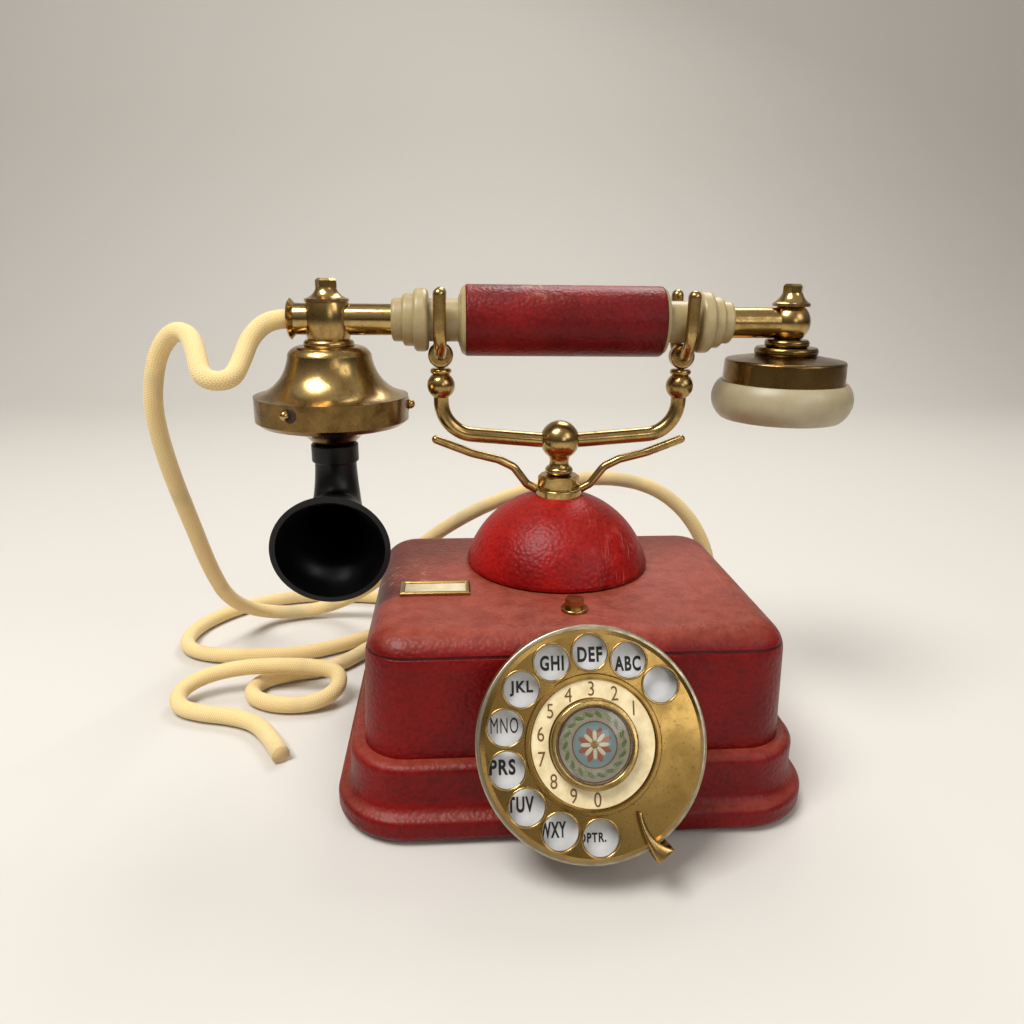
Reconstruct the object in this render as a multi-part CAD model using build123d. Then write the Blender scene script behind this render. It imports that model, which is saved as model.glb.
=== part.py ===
from build123d import *
import math
import os

# Rotary telephone: a leather-covered box on a flared plinth, a dome with a brass cradle,
# a brass and ivory handset with a horn mouthpiece, and a tilted rotary dial.
# Millimetres, +Z up, front towards -Y. The origin is on the table under the cradle's stem.

# General fits
RUN_FIT = 0.08
SEAT_GAP = 0.3

# Box and plinth
BOX_WIDTH = 168.0
BOX_FRONT = 84.0
BOX_BACK = 44.0
BOX_TOP = 79.5
BOX_DRAFT = 2.2
BOX_CORNER_R = 18.0
BOX_TOP_R = 12.0
BOX_WALL = 3.0
PLINTH_TOP = 31.0
PLINTH_BOTTOM = 1.5
PLINTH_LEDGE = 6.0
PLINTH_FOOT = 11.5
PLINTH_FOOT_H = 9.0
PLINTH_COVE_H = 2.5
PLINTH_INNER = 9.0
PLINTH_EDGE_R = 3.5
PLINTH_COVE_R = 6.0
FELT_T = 2.0
PLATE_T = 1.6
PLATE_PLAY = 0.2
PLATE_SCREW_R = 2.0
PLATE_SCREW_HEAD_R = 3.6
PLATE_SCREW_HEAD_H = 1.2
PLATE_SCREW_INSET = 9.0

# Dome, guide tube and the fittings on its top
DOME_BASE_R = 41.7
DOME_EDGE_H = 1.5
DOME_LIFT = 0.9
DOME_H = 32.4
DOME_TOP_R = 10.5
DOME_WALL = 2.5
DOME_FOOT_W = 3.5
TUBE_R = 6.2
TUBE_BELOW = 14.5
TUBE_COLLAR_R = 10.0
TUBE_COLLAR_H = 2.5
FLANGE_R = 10.6
FLANGE_H = 3.4
STEM_NUT_AF = 16.4
STEM_NUT_H = 5.8

# Cradle
STEM_R = 3.5
STEM_BELOW = 6.0
BEAD_R = 6.3
BEAD_H = 3.5
NECK_R = 4.9
BALL_R = 8.85
NECK_L = 4.7
FORK_R = 3.3
FORK_HALF = 52.9
FORK_RISE = 3.6
FORK_BEND_R = 15.0
FORK_LEG = 17.4
FORK_SOCKET = 3.3
FORK_BALL_R = 6.0
FORK_BALL_DROP = 13.1
FORK_BEAD_R = 4.6
FORK_BEAD_H = 2.6
EYE_R = 5.4
EYE_T = 5.6
EYE_EDGE_R = 1.2
PRONG_R = 2.7
PRONG_HALF = 12.2
PRONG_BEND_R = 12.0
PRONG_RISE = 10.8
PRONG_FLARE = 0.8
GUARD_R = 1.9
GUARD_TIP_X = 55.5
GUARD_RISE = 23.7

# Handset, along X
KNUCKLE_X = 100.0
HANDSET_TUBE_R = 6.5
HANDSET_TUBE_WALL = 1.2
FERRULE_END = 116.0
FERRULE_R = 8.5
FERRULE_L = 2.6
GRIP_HALF = 42.2
GRIP_R = 14.9
COLLAR_FLARE_R = 14.7
COLLAR_FLARE_L = 3.2
COLLAR_NECK_R = 8.9
COLLAR_NECK_END = 57.8
COLLAR_RIDGE_R = 13.1
COLLAR_RIDGE_END = 64.0
COLLAR_STEP_R = 10.9
COLLAR_STEP_END = 68.6
COLLAR_TIP_R = 9.0
COLLAR_TIP_END = 73.2
COLLAR_RIDGE_EDGE_R = 1.9
COLLAR_EDGE_R = 1.5
KNUCKLE_L_R = 9.9
KNUCKLE_L_BULGE = 1.2
KNUCKLE_R_R = 8.9
KNUCKLE_L_DROP = 8.4
KNUCKLE_R_DROP = 6.9
KNUCKLE_RISE = 7.2
FINIAL_BASE_R = 9.2
FINIAL_TOP_R = 4.4
FINIAL_H = 9.4

# Transmitter
BELL_SHOULDER_R = 17.6
BELL_SHOULDER_DROP = 6.1
BELL_H = 17.2
BELL_WALL = 1.4
BAND_R = 32.7
BAND_LIP = 0.5
BAND_H = 12.3
BAND_WALL = 1.4
OUTLET_R = 12.4
OUTLET_DROP = 5.0
OUTLET_TIP_R = 7.4
OUTLET_L = 7.6
HORN_SOCKET = 3.6
CAPSULE_PLAY = 3.1
CAPSULE_H = 9.0
HORN_COLLAR_R = 10.2
HORN_NECK_R = 9.3
HORN_COLLAR_H = 8.0
HORN_WALL = 2.2
HORN_MOUTH_R = 23.6
HORN_RIM_R = 0.7
HORN_PITCH = 8.0
HORN_MOUTH_Y = -47.0
HORN_DROP = 31.4
HORN_SWIVEL = 4.0

# Receiver
CUP_R = 26.6
CUP_TOP_DROP = 6.8
CUP_H = 15.4
CUP_CONE = 2.2
CUP_EDGE_R = 1.2
CUP_WALL = 1.4
CUP_DISC_R = 13.7
CUP_TAPER = 0.6
CAP_OVERHANG = 4.0
CAP_LIP_W = 1.2
CAP_WIDEST_RISE = 1.0
CAP_FOOT_INSET = 4.5
CAP_LAP = 3.6
CAP_H = 16.4
CAP_HOLLOW = 5.0
CAP_WALL = 2.4
CAP_HOLE_R = 3.0
RECEIVER_CAPSULE_PLAY = 1.6
RECEIVER_CAPSULE_H = 9.0

# Dial, in a frame whose Z is the dial's outward normal
DIAL_STANDOFF = 24.0
DIAL_Z = 51.8
DIAL_TILT = 26.0
WHEEL_R = 39.5
WHEEL_T = 2.0
WHEEL_WEB_T = 0.8
WHEEL_RIM_R = 24.2
WHEEL_RIM_W = 1.9
WHEEL_RIM_H = 0.6
HOLE_COUNT = 10
HOLE_R = 6.45
HOLE_PITCH_R = 31.4
HOLE_FIRST = 38.5
HOLE_STEP = 26.0
RING_R = 21.8
RING_INNER_R = 15.8
RING_T = 0.6
BEZEL_R = 15.4
BEZEL_WALL = 2.2
BEZEL_H = 4.4
MEDALLION_T = 2.4
GLASS_RISE = 2.4
LETTER_PLATE_R = 39.0
LETTER_PLATE_T = 0.8
FINGER_DEPTH = 4.4
DIAL_RIM_R = 41.2
DIAL_RIM_H = 5.0
CUP_FLANGE_R = 40.4
DIAL_CUP_R = 37.5
DIAL_CUP_STRAIGHT = 12.0
DIAL_CUP_DEPTH = 24.0
DIAL_CUP_FLOOR_R = 17.0
DIAL_CUP_WALL = 1.5
DIAL_SHAFT_R = 3.0
FRAME_PLATE_W = -9.5
FRAME_PLATE_T = 1.5
BRIDGE_W = -20.0
BRIDGE_T = 1.2
GEAR_MODULE = 1.0
MAIN_TEETH = 30
PINION_TEETH = 8
GEAR_W = -13.6
GEAR_T = 2.0
TOOTH_SHARE = 0.36
GOVERNOR_SHAFT_R = 1.2
GOVERNOR_DRUM_R = 6.0
GOVERNOR_DRUM_H = 3.6
STOP_ANGLE = -60.0
STOP_T = 1.4
STOP_LIFT = 0.9

# Top fittings
CARD_SIDE_INSET = 28.0
CARD_FRONT_INSET = 50.0
CARD_LENGTH = 29.0
CARD_WIDTH = 13.5
CARD_FRAME_W = 1.8
CARD_FRAME_H = 1.6
COVER_NUT_INSET = 27.0
COVER_NUT_FLANGE_R = 5.4
COVER_NUT_AF = 6.6
COVER_NUT_H = 5.2
COVER_STUD_R = 1.8
COVER_STUD_L = 12.0

# Works inside the box
GONG_R = 19.0
GONG_H = 12.0
GONG_WALL = 1.6
GONG_INSET = 32.0
GONG_Y = -8.0
GONG_SPACING = 46.0
GONG_Z = 36.0
RINGER_POST_R = 3.0
RINGER_PLATE_T = 1.6
RINGER_PLATE_MARGIN = 12.0
RINGER_PLATE_HALF = 30.0
COIL_R = 7.5
COIL_L = 24.0
CLAPPER_REACH = 26.0
COIL_SPACING = 22.0
CHEEK_SPACE = 10.0
CHEEK_T = 4.0
CHEEK_H = 24.0
CLAPPER_PIN_R = 1.5
CLAPPER_BALL_R = 3.2
CLAPPER_PIN_RISE = 6.0
CLAPPER_HUB_H = 9.0
CLAPPER_ARM_R = 1.0
ARMATURE_HALF = 19.0
ARMATURE_T = 2.4
ARMATURE_H = 4.0
SWITCH_Y = 22.0
SWITCH_PIN_DROP = 2.0
SWITCH_PIN_R = 1.5
SWITCH_EAR_X = 9.0
SWITCH_EAR_T = 2.0
SWITCH_EAR_BELOW = 16.0
SWITCH_PLATE_T = 2.0
SWITCH_PLATE_MARGIN = 4.0
SWITCH_FRONT = 8.0
SWITCH_BACK = 7.0
NETWORK_INSET = 18.0
NETWORK_W = 36.0
NETWORK_L = 50.0
NETWORK_H = 36.0
NETWORK_Y = -37.0
TERMINAL_L = 40.0
TERMINAL_W = 16.0
TERMINAL_H = 10.0
TERMINAL_Y = 14.0

# Cords
CORD_R = 4.0
GROMMET_WALL = 2.0
GROMMET_PROUD = 6.0
GROMMET_Z = 14.0
HANDSET_GROMMET_X = -20.0
LINE_GROMMET_X = -60.0

BOX_Y = (BOX_BACK - BOX_FRONT) / 2
BOX_DEPTH = BOX_BACK + BOX_FRONT
BOX_HEIGHT = BOX_TOP - PLINTH_TOP
PLATE_TOP = FELT_T + PLATE_T
DOME_TOP = BOX_TOP + DOME_H
FLANGE_TOP = DOME_TOP + FLANGE_H
NUT_TOP = FLANGE_TOP + STEM_NUT_H
BEAD_BOTTOM = NUT_TOP + SEAT_GAP
CASING_CEILING = BOX_TOP - BOX_WALL
TUBE_BOTTOM = CASING_CEILING - TUBE_BELOW
STEM_BOTTOM = TUBE_BOTTOM - STEM_BELOW
BALL_Z = BEAD_BOTTOM + BEAD_H + NECK_L + math.sqrt(BALL_R**2 - NECK_R**2)
FORK_TOP = BALL_Z + FORK_RISE + FORK_LEG
FORK_BALL_Z = FORK_TOP + FORK_SOCKET
EYE_Z = FORK_BALL_Z + FORK_BALL_DROP
HANDSET_Z = EYE_Z + EYE_R + SEAT_GAP + COLLAR_NECK_R
PRONG_TOP = HANDSET_Z + PRONG_RISE
KNUCKLE_L_BOTTOM = HANDSET_Z - KNUCKLE_L_DROP
KNUCKLE_R_BOTTOM = HANDSET_Z - KNUCKLE_R_DROP
KNUCKLE_TOP = HANDSET_Z + KNUCKLE_RISE
BELL_SHOULDER_Z = KNUCKLE_L_BOTTOM - BELL_SHOULDER_DROP
BELL_RIM_Z = BELL_SHOULDER_Z - BELL_H
BAND_BOTTOM = BELL_RIM_Z - BAND_H
OUTLET_Z = BAND_BOTTOM - OUTLET_DROP
OUTLET_TIP_Z = OUTLET_Z - OUTLET_L
HORN_TOP = OUTLET_TIP_Z + HORN_SOCKET
HORN_MOUTH_Z = HORN_TOP - HORN_DROP
CUP_TOP = KNUCKLE_R_BOTTOM - CUP_TOP_DROP
CUP_BOTTOM = CUP_TOP - CUP_H
CAP_TOP = CUP_BOTTOM + CAP_LAP
CAP_BOTTOM = CAP_TOP - CAP_H
CAP_FLOOR = CAP_BOTTOM + CAP_HOLLOW + CAP_WALL
CAP_R = CUP_R + CAP_OVERHANG
BELL_RIM_R = BAND_R - BAND_LIP
CAPSULE_R = BAND_R - BAND_WALL - CAPSULE_PLAY
RECEIVER_CAPSULE_R = CUP_R - CUP_WALL - CUP_TAPER - RECEIVER_CAPSULE_PLAY
DIAL_Y = -BOX_FRONT - DIAL_STANDOFF
GONG_X = GONG_INSET - BOX_WIDTH / 2
CLAPPER_PIVOT_X = GONG_X + CLAPPER_REACH
CHEEK_X = CLAPPER_PIVOT_X + CHEEK_SPACE
CARD_X = CARD_SIDE_INSET - BOX_WIDTH / 2
CARD_Y = CARD_FRONT_INSET - BOX_FRONT
COVER_NUT_Y = COVER_NUT_INSET - BOX_FRONT
SWITCH_PIN_Z = STEM_BOTTOM - SWITCH_PIN_DROP
GROMMET_END = BOX_BACK + PLINTH_LEDGE + GROMMET_PROUD
DIAL_PLANE = Plane(
    origin=(0, DIAL_Y, DIAL_Z),
    x_dir=(1, 0, 0),
    z_dir=(0, -math.cos(math.radians(DIAL_TILT)), math.sin(math.radians(DIAL_TILT))),
)
LETTER_PLATE_TOP = -FINGER_DEPTH
LETTER_PLATE_UNDER = LETTER_PLATE_TOP - LETTER_PLATE_T


def turned(outline):
    """Revolve a closed outline of (radius, height) points or edges about Z."""
    return revolve(Plane.XZ * make_face(outline), Axis.Z)


def ring(outer_r, inner_r, low, high):
    """Straight tube about Z between two heights."""
    tube = Cylinder(outer_r, high - low, align=(Align.CENTER, Align.CENTER, Align.MIN))
    bore = Cylinder(inner_r, high - low, align=(Align.CENTER, Align.CENTER, Align.MIN))
    return Pos(0, 0, low) * (tube - bore)


def rod(radius, low, high):
    """Straight rod about Z between two heights."""
    return Pos(0, 0, low) * Cylinder(radius, high - low, align=(Align.CENTER, Align.CENTER, Align.MIN))


def block(x0, x1, y0, y1, z0, z1):
    """Box between two corners."""
    size = Box(x1 - x0, y1 - y0, z1 - z0)
    return Pos((x0 + x1) / 2, (y0 + y1) / 2, (z0 + z1) / 2) * size


def bent_rod(points, radii, radius):
    """Round rod along straight runs joined by tangent arcs."""
    path = FilletPolyline(*points, radius=radii)
    start = Plane(origin=path @ 0, z_dir=path % 0)
    return sweep(start * Circle(radius), path=path)


def along_x(shape, x, z):
    """Lay a shape that was turned about Z along +X at height z."""
    return Pos(x, 0, z) * Rot(0, 90, 0) * shape


def rounded_rect(inset, corner_inset, z):
    """Outline of the box's foot, moved inwards by inset, at height z."""
    sketch = RectangleRounded(BOX_WIDTH - 2 * inset, BOX_DEPTH - 2 * inset, BOX_CORNER_R - corner_inset)
    return Pos(0, BOX_Y, z) * sketch


def cord_path(points):
    """Smooth route of a cord: each bend is as large as its two runs allow."""
    vectors = [Vector(*point) for point in points]
    radii = []
    for before, here, after in zip(vectors, vectors[1:], vectors[2:]):
        turn = math.radians((here - before).get_angle(after - here))
        shorter = min((here - before).length, (after - here).length)
        radii.append(0.45 * shorter / math.tan(turn / 2))
    return FilletPolyline(*points, radius=radii), radii


def cord(points, name):
    """Tube along a cord's route, with its bends and volume printed."""
    path, radii = cord_path(points)
    start = Plane(origin=path @ 0, z_dir=path % 0)
    tube = sweep(start * Circle(CORD_R), path=path)
    expected = math.pi * CORD_R**2 * path.length
    print(name, "length", round(path.length), "least radius", round(min(radii), 1))
    print(name, "volume share", round(tube.volume / expected, 4))
    return tube


def gear(teeth, thickness):
    """Spur gear with straight-sided teeth, centred on Z, its lower face at 0."""
    pitch_r = GEAR_MODULE * teeth / 2
    root_r = pitch_r - 1.15 * GEAR_MODULE
    tip_r = pitch_r + 0.85 * GEAR_MODULE
    pitch = math.pi * GEAR_MODULE
    half = TOOTH_SHARE * pitch / 2
    slope = math.tan(math.radians(20))
    tooth = Polyline(
        (root_r - 0.3, -half - slope * (pitch_r - root_r)),
        (tip_r, -half + slope * (tip_r - pitch_r)),
        (tip_r, half - slope * (tip_r - pitch_r)),
        (root_r - 0.3, half + slope * (pitch_r - root_r)),
        close=True,
    )
    blank = Circle(root_r) + PolarLocations(0, teeth) * make_face(tooth)
    return extrude(blank, thickness)


# Box and plinth

def box_shell(inset, height, edge_r):
    """Drafted box with a rounded top, standing on the plinth."""
    body = extrude(rounded_rect(inset, inset, PLINTH_TOP), height, taper=BOX_DRAFT)
    return fillet(body.edges().group_by(Axis.Z)[-1], edge_r)


def dial_bowl(grow):
    """Outside of the dial's cup as a solid, grown by a clearance."""
    r = DIAL_CUP_R + grow
    floor = -DIAL_CUP_DEPTH - grow
    floor_r = DIAL_CUP_FLOOR_R + grow
    mid_r = floor_r + (r - floor_r) * math.sin(math.radians(45))
    mid_w = -DIAL_CUP_STRAIGHT + (floor + DIAL_CUP_STRAIGHT) * math.sin(math.radians(45))
    outline = [
        Line((0, LETTER_PLATE_UNDER), (r, LETTER_PLATE_UNDER)),
        Line((r, LETTER_PLATE_UNDER), (r, -DIAL_CUP_STRAIGHT)),
        ThreePointArc((r, -DIAL_CUP_STRAIGHT), (mid_r, mid_w), (floor_r, floor)),
        Line((floor_r, floor), (0, floor)),
        Line((0, floor), (0, LETTER_PLATE_UNDER)),
    ]
    return turned(outline)


def casing():
    """Leather-covered box, open below, with holes for the tube, the dial and the cover stud."""
    shell = box_shell(0, BOX_HEIGHT, BOX_TOP_R) - box_shell(BOX_WALL, BOX_HEIGHT - BOX_WALL, BOX_TOP_R - BOX_WALL)
    shell -= rod(TUBE_R + RUN_FIT, CASING_CEILING - 1, BOX_TOP + 1)
    shell -= Pos(0, COVER_NUT_Y, 0) * rod(COVER_STUD_R + RUN_FIT, CASING_CEILING - 1, BOX_TOP + 1)
    return shell - DIAL_PLANE.location * dial_bowl(SEAT_GAP)


def plinth():
    """Flared base moulding swept round the box's foot, with two cord holes at the back."""
    cove_z = PLINTH_BOTTOM + PLINTH_FOOT_H
    corners = [
        (-PLINTH_INNER, PLINTH_BOTTOM),
        (PLINTH_FOOT, PLINTH_BOTTOM),
        (PLINTH_FOOT, cove_z),
        (PLINTH_LEDGE, cove_z + PLINTH_COVE_H),
        (PLINTH_LEDGE, PLINTH_TOP),
        (-PLINTH_INNER, PLINTH_TOP),
    ]
    section = make_face(Polyline(*corners, close=True))

    def at(corner):
        return section.vertices().sort_by_distance((*corner, 0))[0]

    section = fillet([at(corners[1]), at(corners[4])], PLINTH_EDGE_R)
    section = fillet(at(corners[2]), PLINTH_EDGE_R - 0.5)
    section = fillet(at(corners[3]), PLINTH_COVE_R)
    path = rounded_rect(0, 0, 0).wire()
    start = path @ 0
    outward = (path % 0).cross(Vector(0, 0, 1))
    frame = Plane(origin=start, x_dir=outward, z_dir=outward.cross(Vector(0, 0, 1)))
    ring_body = sweep(frame * section, path=path)
    for x in (HANDSET_GROMMET_X, LINE_GROMMET_X):
        ring_body -= Pos(x, BOX_BACK, GROMMET_Z) * Rot(90, 0, 0) * Cylinder(CORD_R + GROMMET_WALL, 60)
    return ring_body


def plate_screw_points():
    """Places of the four base plate screws."""
    inset = PLINTH_INNER + PLATE_SCREW_INSET
    x = BOX_WIDTH / 2 - inset
    return [(sx * x, BOX_Y + sy * (BOX_DEPTH / 2 - inset)) for sx in (-1, 1) for sy in (-1, 1)]


def base_plate():
    """Steel plate that closes the plinth from below."""
    inset = PLINTH_INNER + PLATE_PLAY
    plate = extrude(rounded_rect(inset, inset, FELT_T), PLATE_T)
    for x, y in plate_screw_points():
        plate -= Pos(x, y, 0) * rod(PLATE_SCREW_R + RUN_FIT, 0, PLATE_TOP + 1)
    return plate


def base_screws():
    """Four screws with their heads on the base plate."""
    screws = []
    for x, y in plate_screw_points():
        head = rod(PLATE_SCREW_HEAD_R, PLATE_TOP, PLATE_TOP + PLATE_SCREW_HEAD_H)
        screws.append(Pos(x, y, 0) * (head + rod(PLATE_SCREW_R, FELT_T, PLATE_TOP)))
    return Compound(children=screws)


def felt_pad():
    """Felt sheet under the base plate, on which the telephone stands."""
    inset = PLINTH_INNER + PLATE_PLAY
    return extrude(rounded_rect(inset, inset, 0), FELT_T)


# Dome and cradle fittings

def dome_arc(base_r, base_z, top_r, top_z):
    """Arc of the sphere about the stem that joins two rings."""
    centre = (top_r**2 + top_z**2 - base_r**2 - base_z**2) / (2 * (top_z - base_z))
    radius = math.hypot(base_r, base_z - centre)
    low = math.atan2(base_z - centre, base_r)
    high = math.atan2(top_z - centre, top_r)
    mid = (low + high) / 2
    return ThreePointArc(
        (base_r, base_z),
        (radius * math.cos(mid), centre + radius * math.sin(mid)),
        (top_r, top_z),
    )


def bell_dome():
    """Leather-covered dome on a narrow foot, bored for the guide tube."""
    edge = BOX_TOP + DOME_LIFT
    shoulder = edge + DOME_EDGE_H
    bore = TUBE_R + RUN_FIT
    inner_r = DOME_BASE_R - DOME_WALL
    inner_top = DOME_TOP - DOME_WALL
    outline = [
        dome_arc(DOME_BASE_R, shoulder, DOME_TOP_R, DOME_TOP),
        Line((DOME_TOP_R, DOME_TOP), (bore, DOME_TOP)),
        Line((bore, DOME_TOP), (bore, inner_top)),
        Line((bore, inner_top), (DOME_TOP_R, inner_top)),
        dome_arc(inner_r, shoulder, DOME_TOP_R, inner_top),
        Line((inner_r, shoulder), (inner_r, edge)),
        Line((inner_r, edge), (DOME_BASE_R, edge)),
        Line((DOME_BASE_R, edge), (DOME_BASE_R, shoulder)),
    ]
    foot = ring(inner_r, inner_r - DOME_FOOT_W, BOX_TOP, shoulder)
    return turned(outline) + foot


def guide_tube():
    """Tube through the dome that clamps it to the box and guides the stem."""
    tube = ring(TUBE_R, STEM_R + RUN_FIT, TUBE_BOTTOM, NUT_TOP)
    collar = ring(TUBE_COLLAR_R, STEM_R + RUN_FIT, CASING_CEILING - TUBE_COLLAR_H, CASING_CEILING)
    return tube + collar


def guard_arm(side):
    """Thin curved arm from the flange out under the fork."""
    arm_z = DOME_TOP + FLANGE_H / 2
    points = [
        (side * (FLANGE_R - 1.5), 0, arm_z),
        (side * (FLANGE_R + 4.0), 0, arm_z + 3.0),
        (side * (FLANGE_R + 10.0), 0, arm_z + 11.0),
        (side * (FLANGE_R + 17.0), 0, arm_z + 14.5),
        (side * (FLANGE_R + 29.0), 0, arm_z + 17.5),
        (side * GUARD_TIP_X, 0, arm_z + GUARD_RISE),
    ]
    return bent_rod(points, [4.0, 6.0, 9.0, 20.0], GUARD_R) + Pos(*points[-1]) * Sphere(GUARD_R)


def guard_arms():
    """Flange on the dome's top with the two guard arms brazed to it."""
    disc = ring(FLANGE_R, TUBE_R + RUN_FIT, DOME_TOP, FLANGE_TOP)
    disc = fillet(disc.edges().group_by(Axis.Z)[-1].sort_by(SortBy.RADIUS)[-1], 0.8)
    arms = guard_arm(-1) + guard_arm(1)
    return disc + (arms - rod(FLANGE_R - 1.0, DOME_TOP, NUT_TOP))


def stem_nut():
    """Hexagon nut that holds the flange and dome down on the tube."""
    half = STEM_NUT_AF / 2
    nut = extrude(Pos(0, 0, FLANGE_TOP) * RegularPolygon(half, 6, major_radius=False), STEM_NUT_H)
    corner_cut = Cone(half + 1.7 * STEM_NUT_H, half, STEM_NUT_H, align=(Align.CENTER, Align.CENTER, Align.MIN))
    return (nut & Pos(0, 0, FLANGE_TOP) * corner_cut) - rod(TUBE_R, FLANGE_TOP, NUT_TOP)


def cradle_stem():
    """Turned stem: ball, neck and bead over a plunger that works the switch."""
    bead_top = BEAD_BOTTOM + BEAD_H
    ball_join = bead_top + NECK_L
    neck_mid = (bead_top + ball_join) / 2
    waist = NECK_R - 0.6
    outline = [
        Line((0, STEM_BOTTOM), (STEM_R, STEM_BOTTOM)),
        Line((STEM_R, STEM_BOTTOM), (STEM_R, BEAD_BOTTOM)),
        Line((STEM_R, BEAD_BOTTOM), (BEAD_R - 1.2, BEAD_BOTTOM)),
        ThreePointArc((BEAD_R - 1.2, BEAD_BOTTOM), (BEAD_R, BEAD_BOTTOM + BEAD_H / 2), (BEAD_R - 1.2, bead_top)),
        Line((BEAD_R - 1.2, bead_top), (NECK_R, bead_top)),
        ThreePointArc((NECK_R, bead_top), (waist, neck_mid), (NECK_R, ball_join)),
        ThreePointArc((NECK_R, ball_join), (BALL_R, BALL_Z), (0, BALL_Z + BALL_R)),
        Line((0, BALL_Z + BALL_R), (0, STEM_BOTTOM)),
    ]
    return turned(outline) - fork_bar()


def fork_bar():
    """Round bar through the ball, bent up at both ends."""
    rise = BALL_Z + FORK_RISE
    points = [
        (-FORK_HALF, 0, FORK_TOP),
        (-FORK_HALF, 0, rise),
        (-BALL_R, 0, BALL_Z),
        (BALL_R, 0, BALL_Z),
        (FORK_HALF, 0, rise),
        (FORK_HALF, 0, FORK_TOP),
    ]
    return bent_rod(points, [FORK_BEND_R, 2 * FORK_BEND_R, 2 * FORK_BEND_R, FORK_BEND_R], FORK_R)


def fork_eye(side):
    """Ball, bead and ring on one end of the fork."""
    waist = FORK_BEAD_R - 1.2
    bead_low = FORK_BALL_Z + math.sqrt(FORK_BALL_R**2 - waist**2)
    bead_top = bead_low + FORK_BEAD_H
    stub_r = EYE_T / 2 - EYE_EDGE_R - 0.1
    stub_top = EYE_Z - EYE_R + 1.2
    outline = [
        ThreePointArc((0, FORK_BALL_Z - FORK_BALL_R), (FORK_BALL_R, FORK_BALL_Z), (waist, bead_low)),
        ThreePointArc((waist, bead_low), (FORK_BEAD_R, (bead_low + bead_top) / 2), (waist, bead_top)),
        Line((waist, bead_top), (stub_r, bead_top)),
        Line((stub_r, bead_top), (stub_r, stub_top)),
        Line((stub_r, stub_top), (0, stub_top)),
        Line((0, stub_top), (0, FORK_BALL_Z - FORK_BALL_R)),
    ]
    eye = Pos(0, 0, EYE_Z) * Rot(90, 0, 0) * Cylinder(EYE_R, EYE_T)
    eye = fillet(eye.edges().filter_by(GeomType.CIRCLE), EYE_EDGE_R)
    return (Pos(side * FORK_HALF, 0, 0) * (turned(outline) + eye)) - fork_bar() - prong(side)


def prong(side):
    """U-shaped rod through an eye, on which the handset's neck rests."""
    x = side * FORK_HALF
    points = [
        (x, -PRONG_HALF - PRONG_FLARE, PRONG_TOP),
        (x, -PRONG_HALF, EYE_Z),
        (x, PRONG_HALF, EYE_Z),
        (x, PRONG_HALF + PRONG_FLARE, PRONG_TOP),
    ]
    tips = Pos(*points[0]) * Sphere(PRONG_R) + Pos(*points[-1]) * Sphere(PRONG_R)
    return bent_rod(points, [PRONG_BEND_R - 0.4] * 2, PRONG_R) + tips


# Handset

def handset_tube():
    """Brass tube from the cord ferrule through the grip to the receiver's knuckle."""
    tube = ring(HANDSET_TUBE_R, HANDSET_TUBE_R - HANDSET_TUBE_WALL, -FERRULE_END + FERRULE_L, KNUCKLE_X)
    return along_x(tube, 0, HANDSET_Z)


def cord_ferrule():
    """Flared mouth at the end of the tube, where the cord comes out."""
    inner = CORD_R
    outline = Polyline(
        (inner, 0),
        (FERRULE_R - 0.8, 0),
        (FERRULE_R, 0.8),
        (HANDSET_TUBE_R, FERRULE_L),
        (inner, FERRULE_L),
        close=True,
    )
    return along_x(turned(outline), -FERRULE_END, HANDSET_Z)


def grip_sleeve():
    """Leather-covered sleeve over the middle of the tube."""
    sleeve = ring(GRIP_R, HANDSET_TUBE_R, -GRIP_HALF, GRIP_HALF)
    outer = [edge for edge in sleeve.edges().filter_by(GeomType.CIRCLE) if edge.radius > GRIP_R - 0.1]
    return along_x(fillet(outer, 0.9), 0, HANDSET_Z)


def collar(side):
    """Stepped ivory collar with the neck that lies in a prong."""
    neck_start = GRIP_HALF + COLLAR_FLARE_L
    points = [
        (HANDSET_TUBE_R, GRIP_HALF),
        (COLLAR_FLARE_R, GRIP_HALF),
        (COLLAR_FLARE_R - 1.2, GRIP_HALF + COLLAR_FLARE_L / 2),
        (COLLAR_NECK_R, neck_start),
        (COLLAR_NECK_R, COLLAR_NECK_END),
        (COLLAR_RIDGE_R, COLLAR_NECK_END),
        (COLLAR_RIDGE_R, COLLAR_RIDGE_END),
        (COLLAR_STEP_R, COLLAR_RIDGE_END),
        (COLLAR_STEP_R, COLLAR_STEP_END),
        (COLLAR_TIP_R, COLLAR_STEP_END),
        (COLLAR_TIP_R, COLLAR_TIP_END),
        (HANDSET_TUBE_R, COLLAR_TIP_END),
    ]
    section = make_face(Polyline(*points, close=True))
    ridge_edge_r = min(COLLAR_RIDGE_EDGE_R, 0.9 * (COLLAR_RIDGE_R - COLLAR_STEP_R))
    step_edge_r = min(COLLAR_EDGE_R, 0.9 * (COLLAR_STEP_R - COLLAR_TIP_R))
    for picks, radius in (((5, 6), ridge_edge_r), ((8,), step_edge_r), ((10,), COLLAR_EDGE_R)):
        corners = [section.vertices().sort_by_distance((*points[pick], 0))[0] for pick in picks]
        section = fillet(corners, radius)
    body = revolve(Plane.XZ * section, Axis.Z)
    if side < 0:
        body = mirror(body, Plane.XY)
    return along_x(body, 0, HANDSET_Z)


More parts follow.
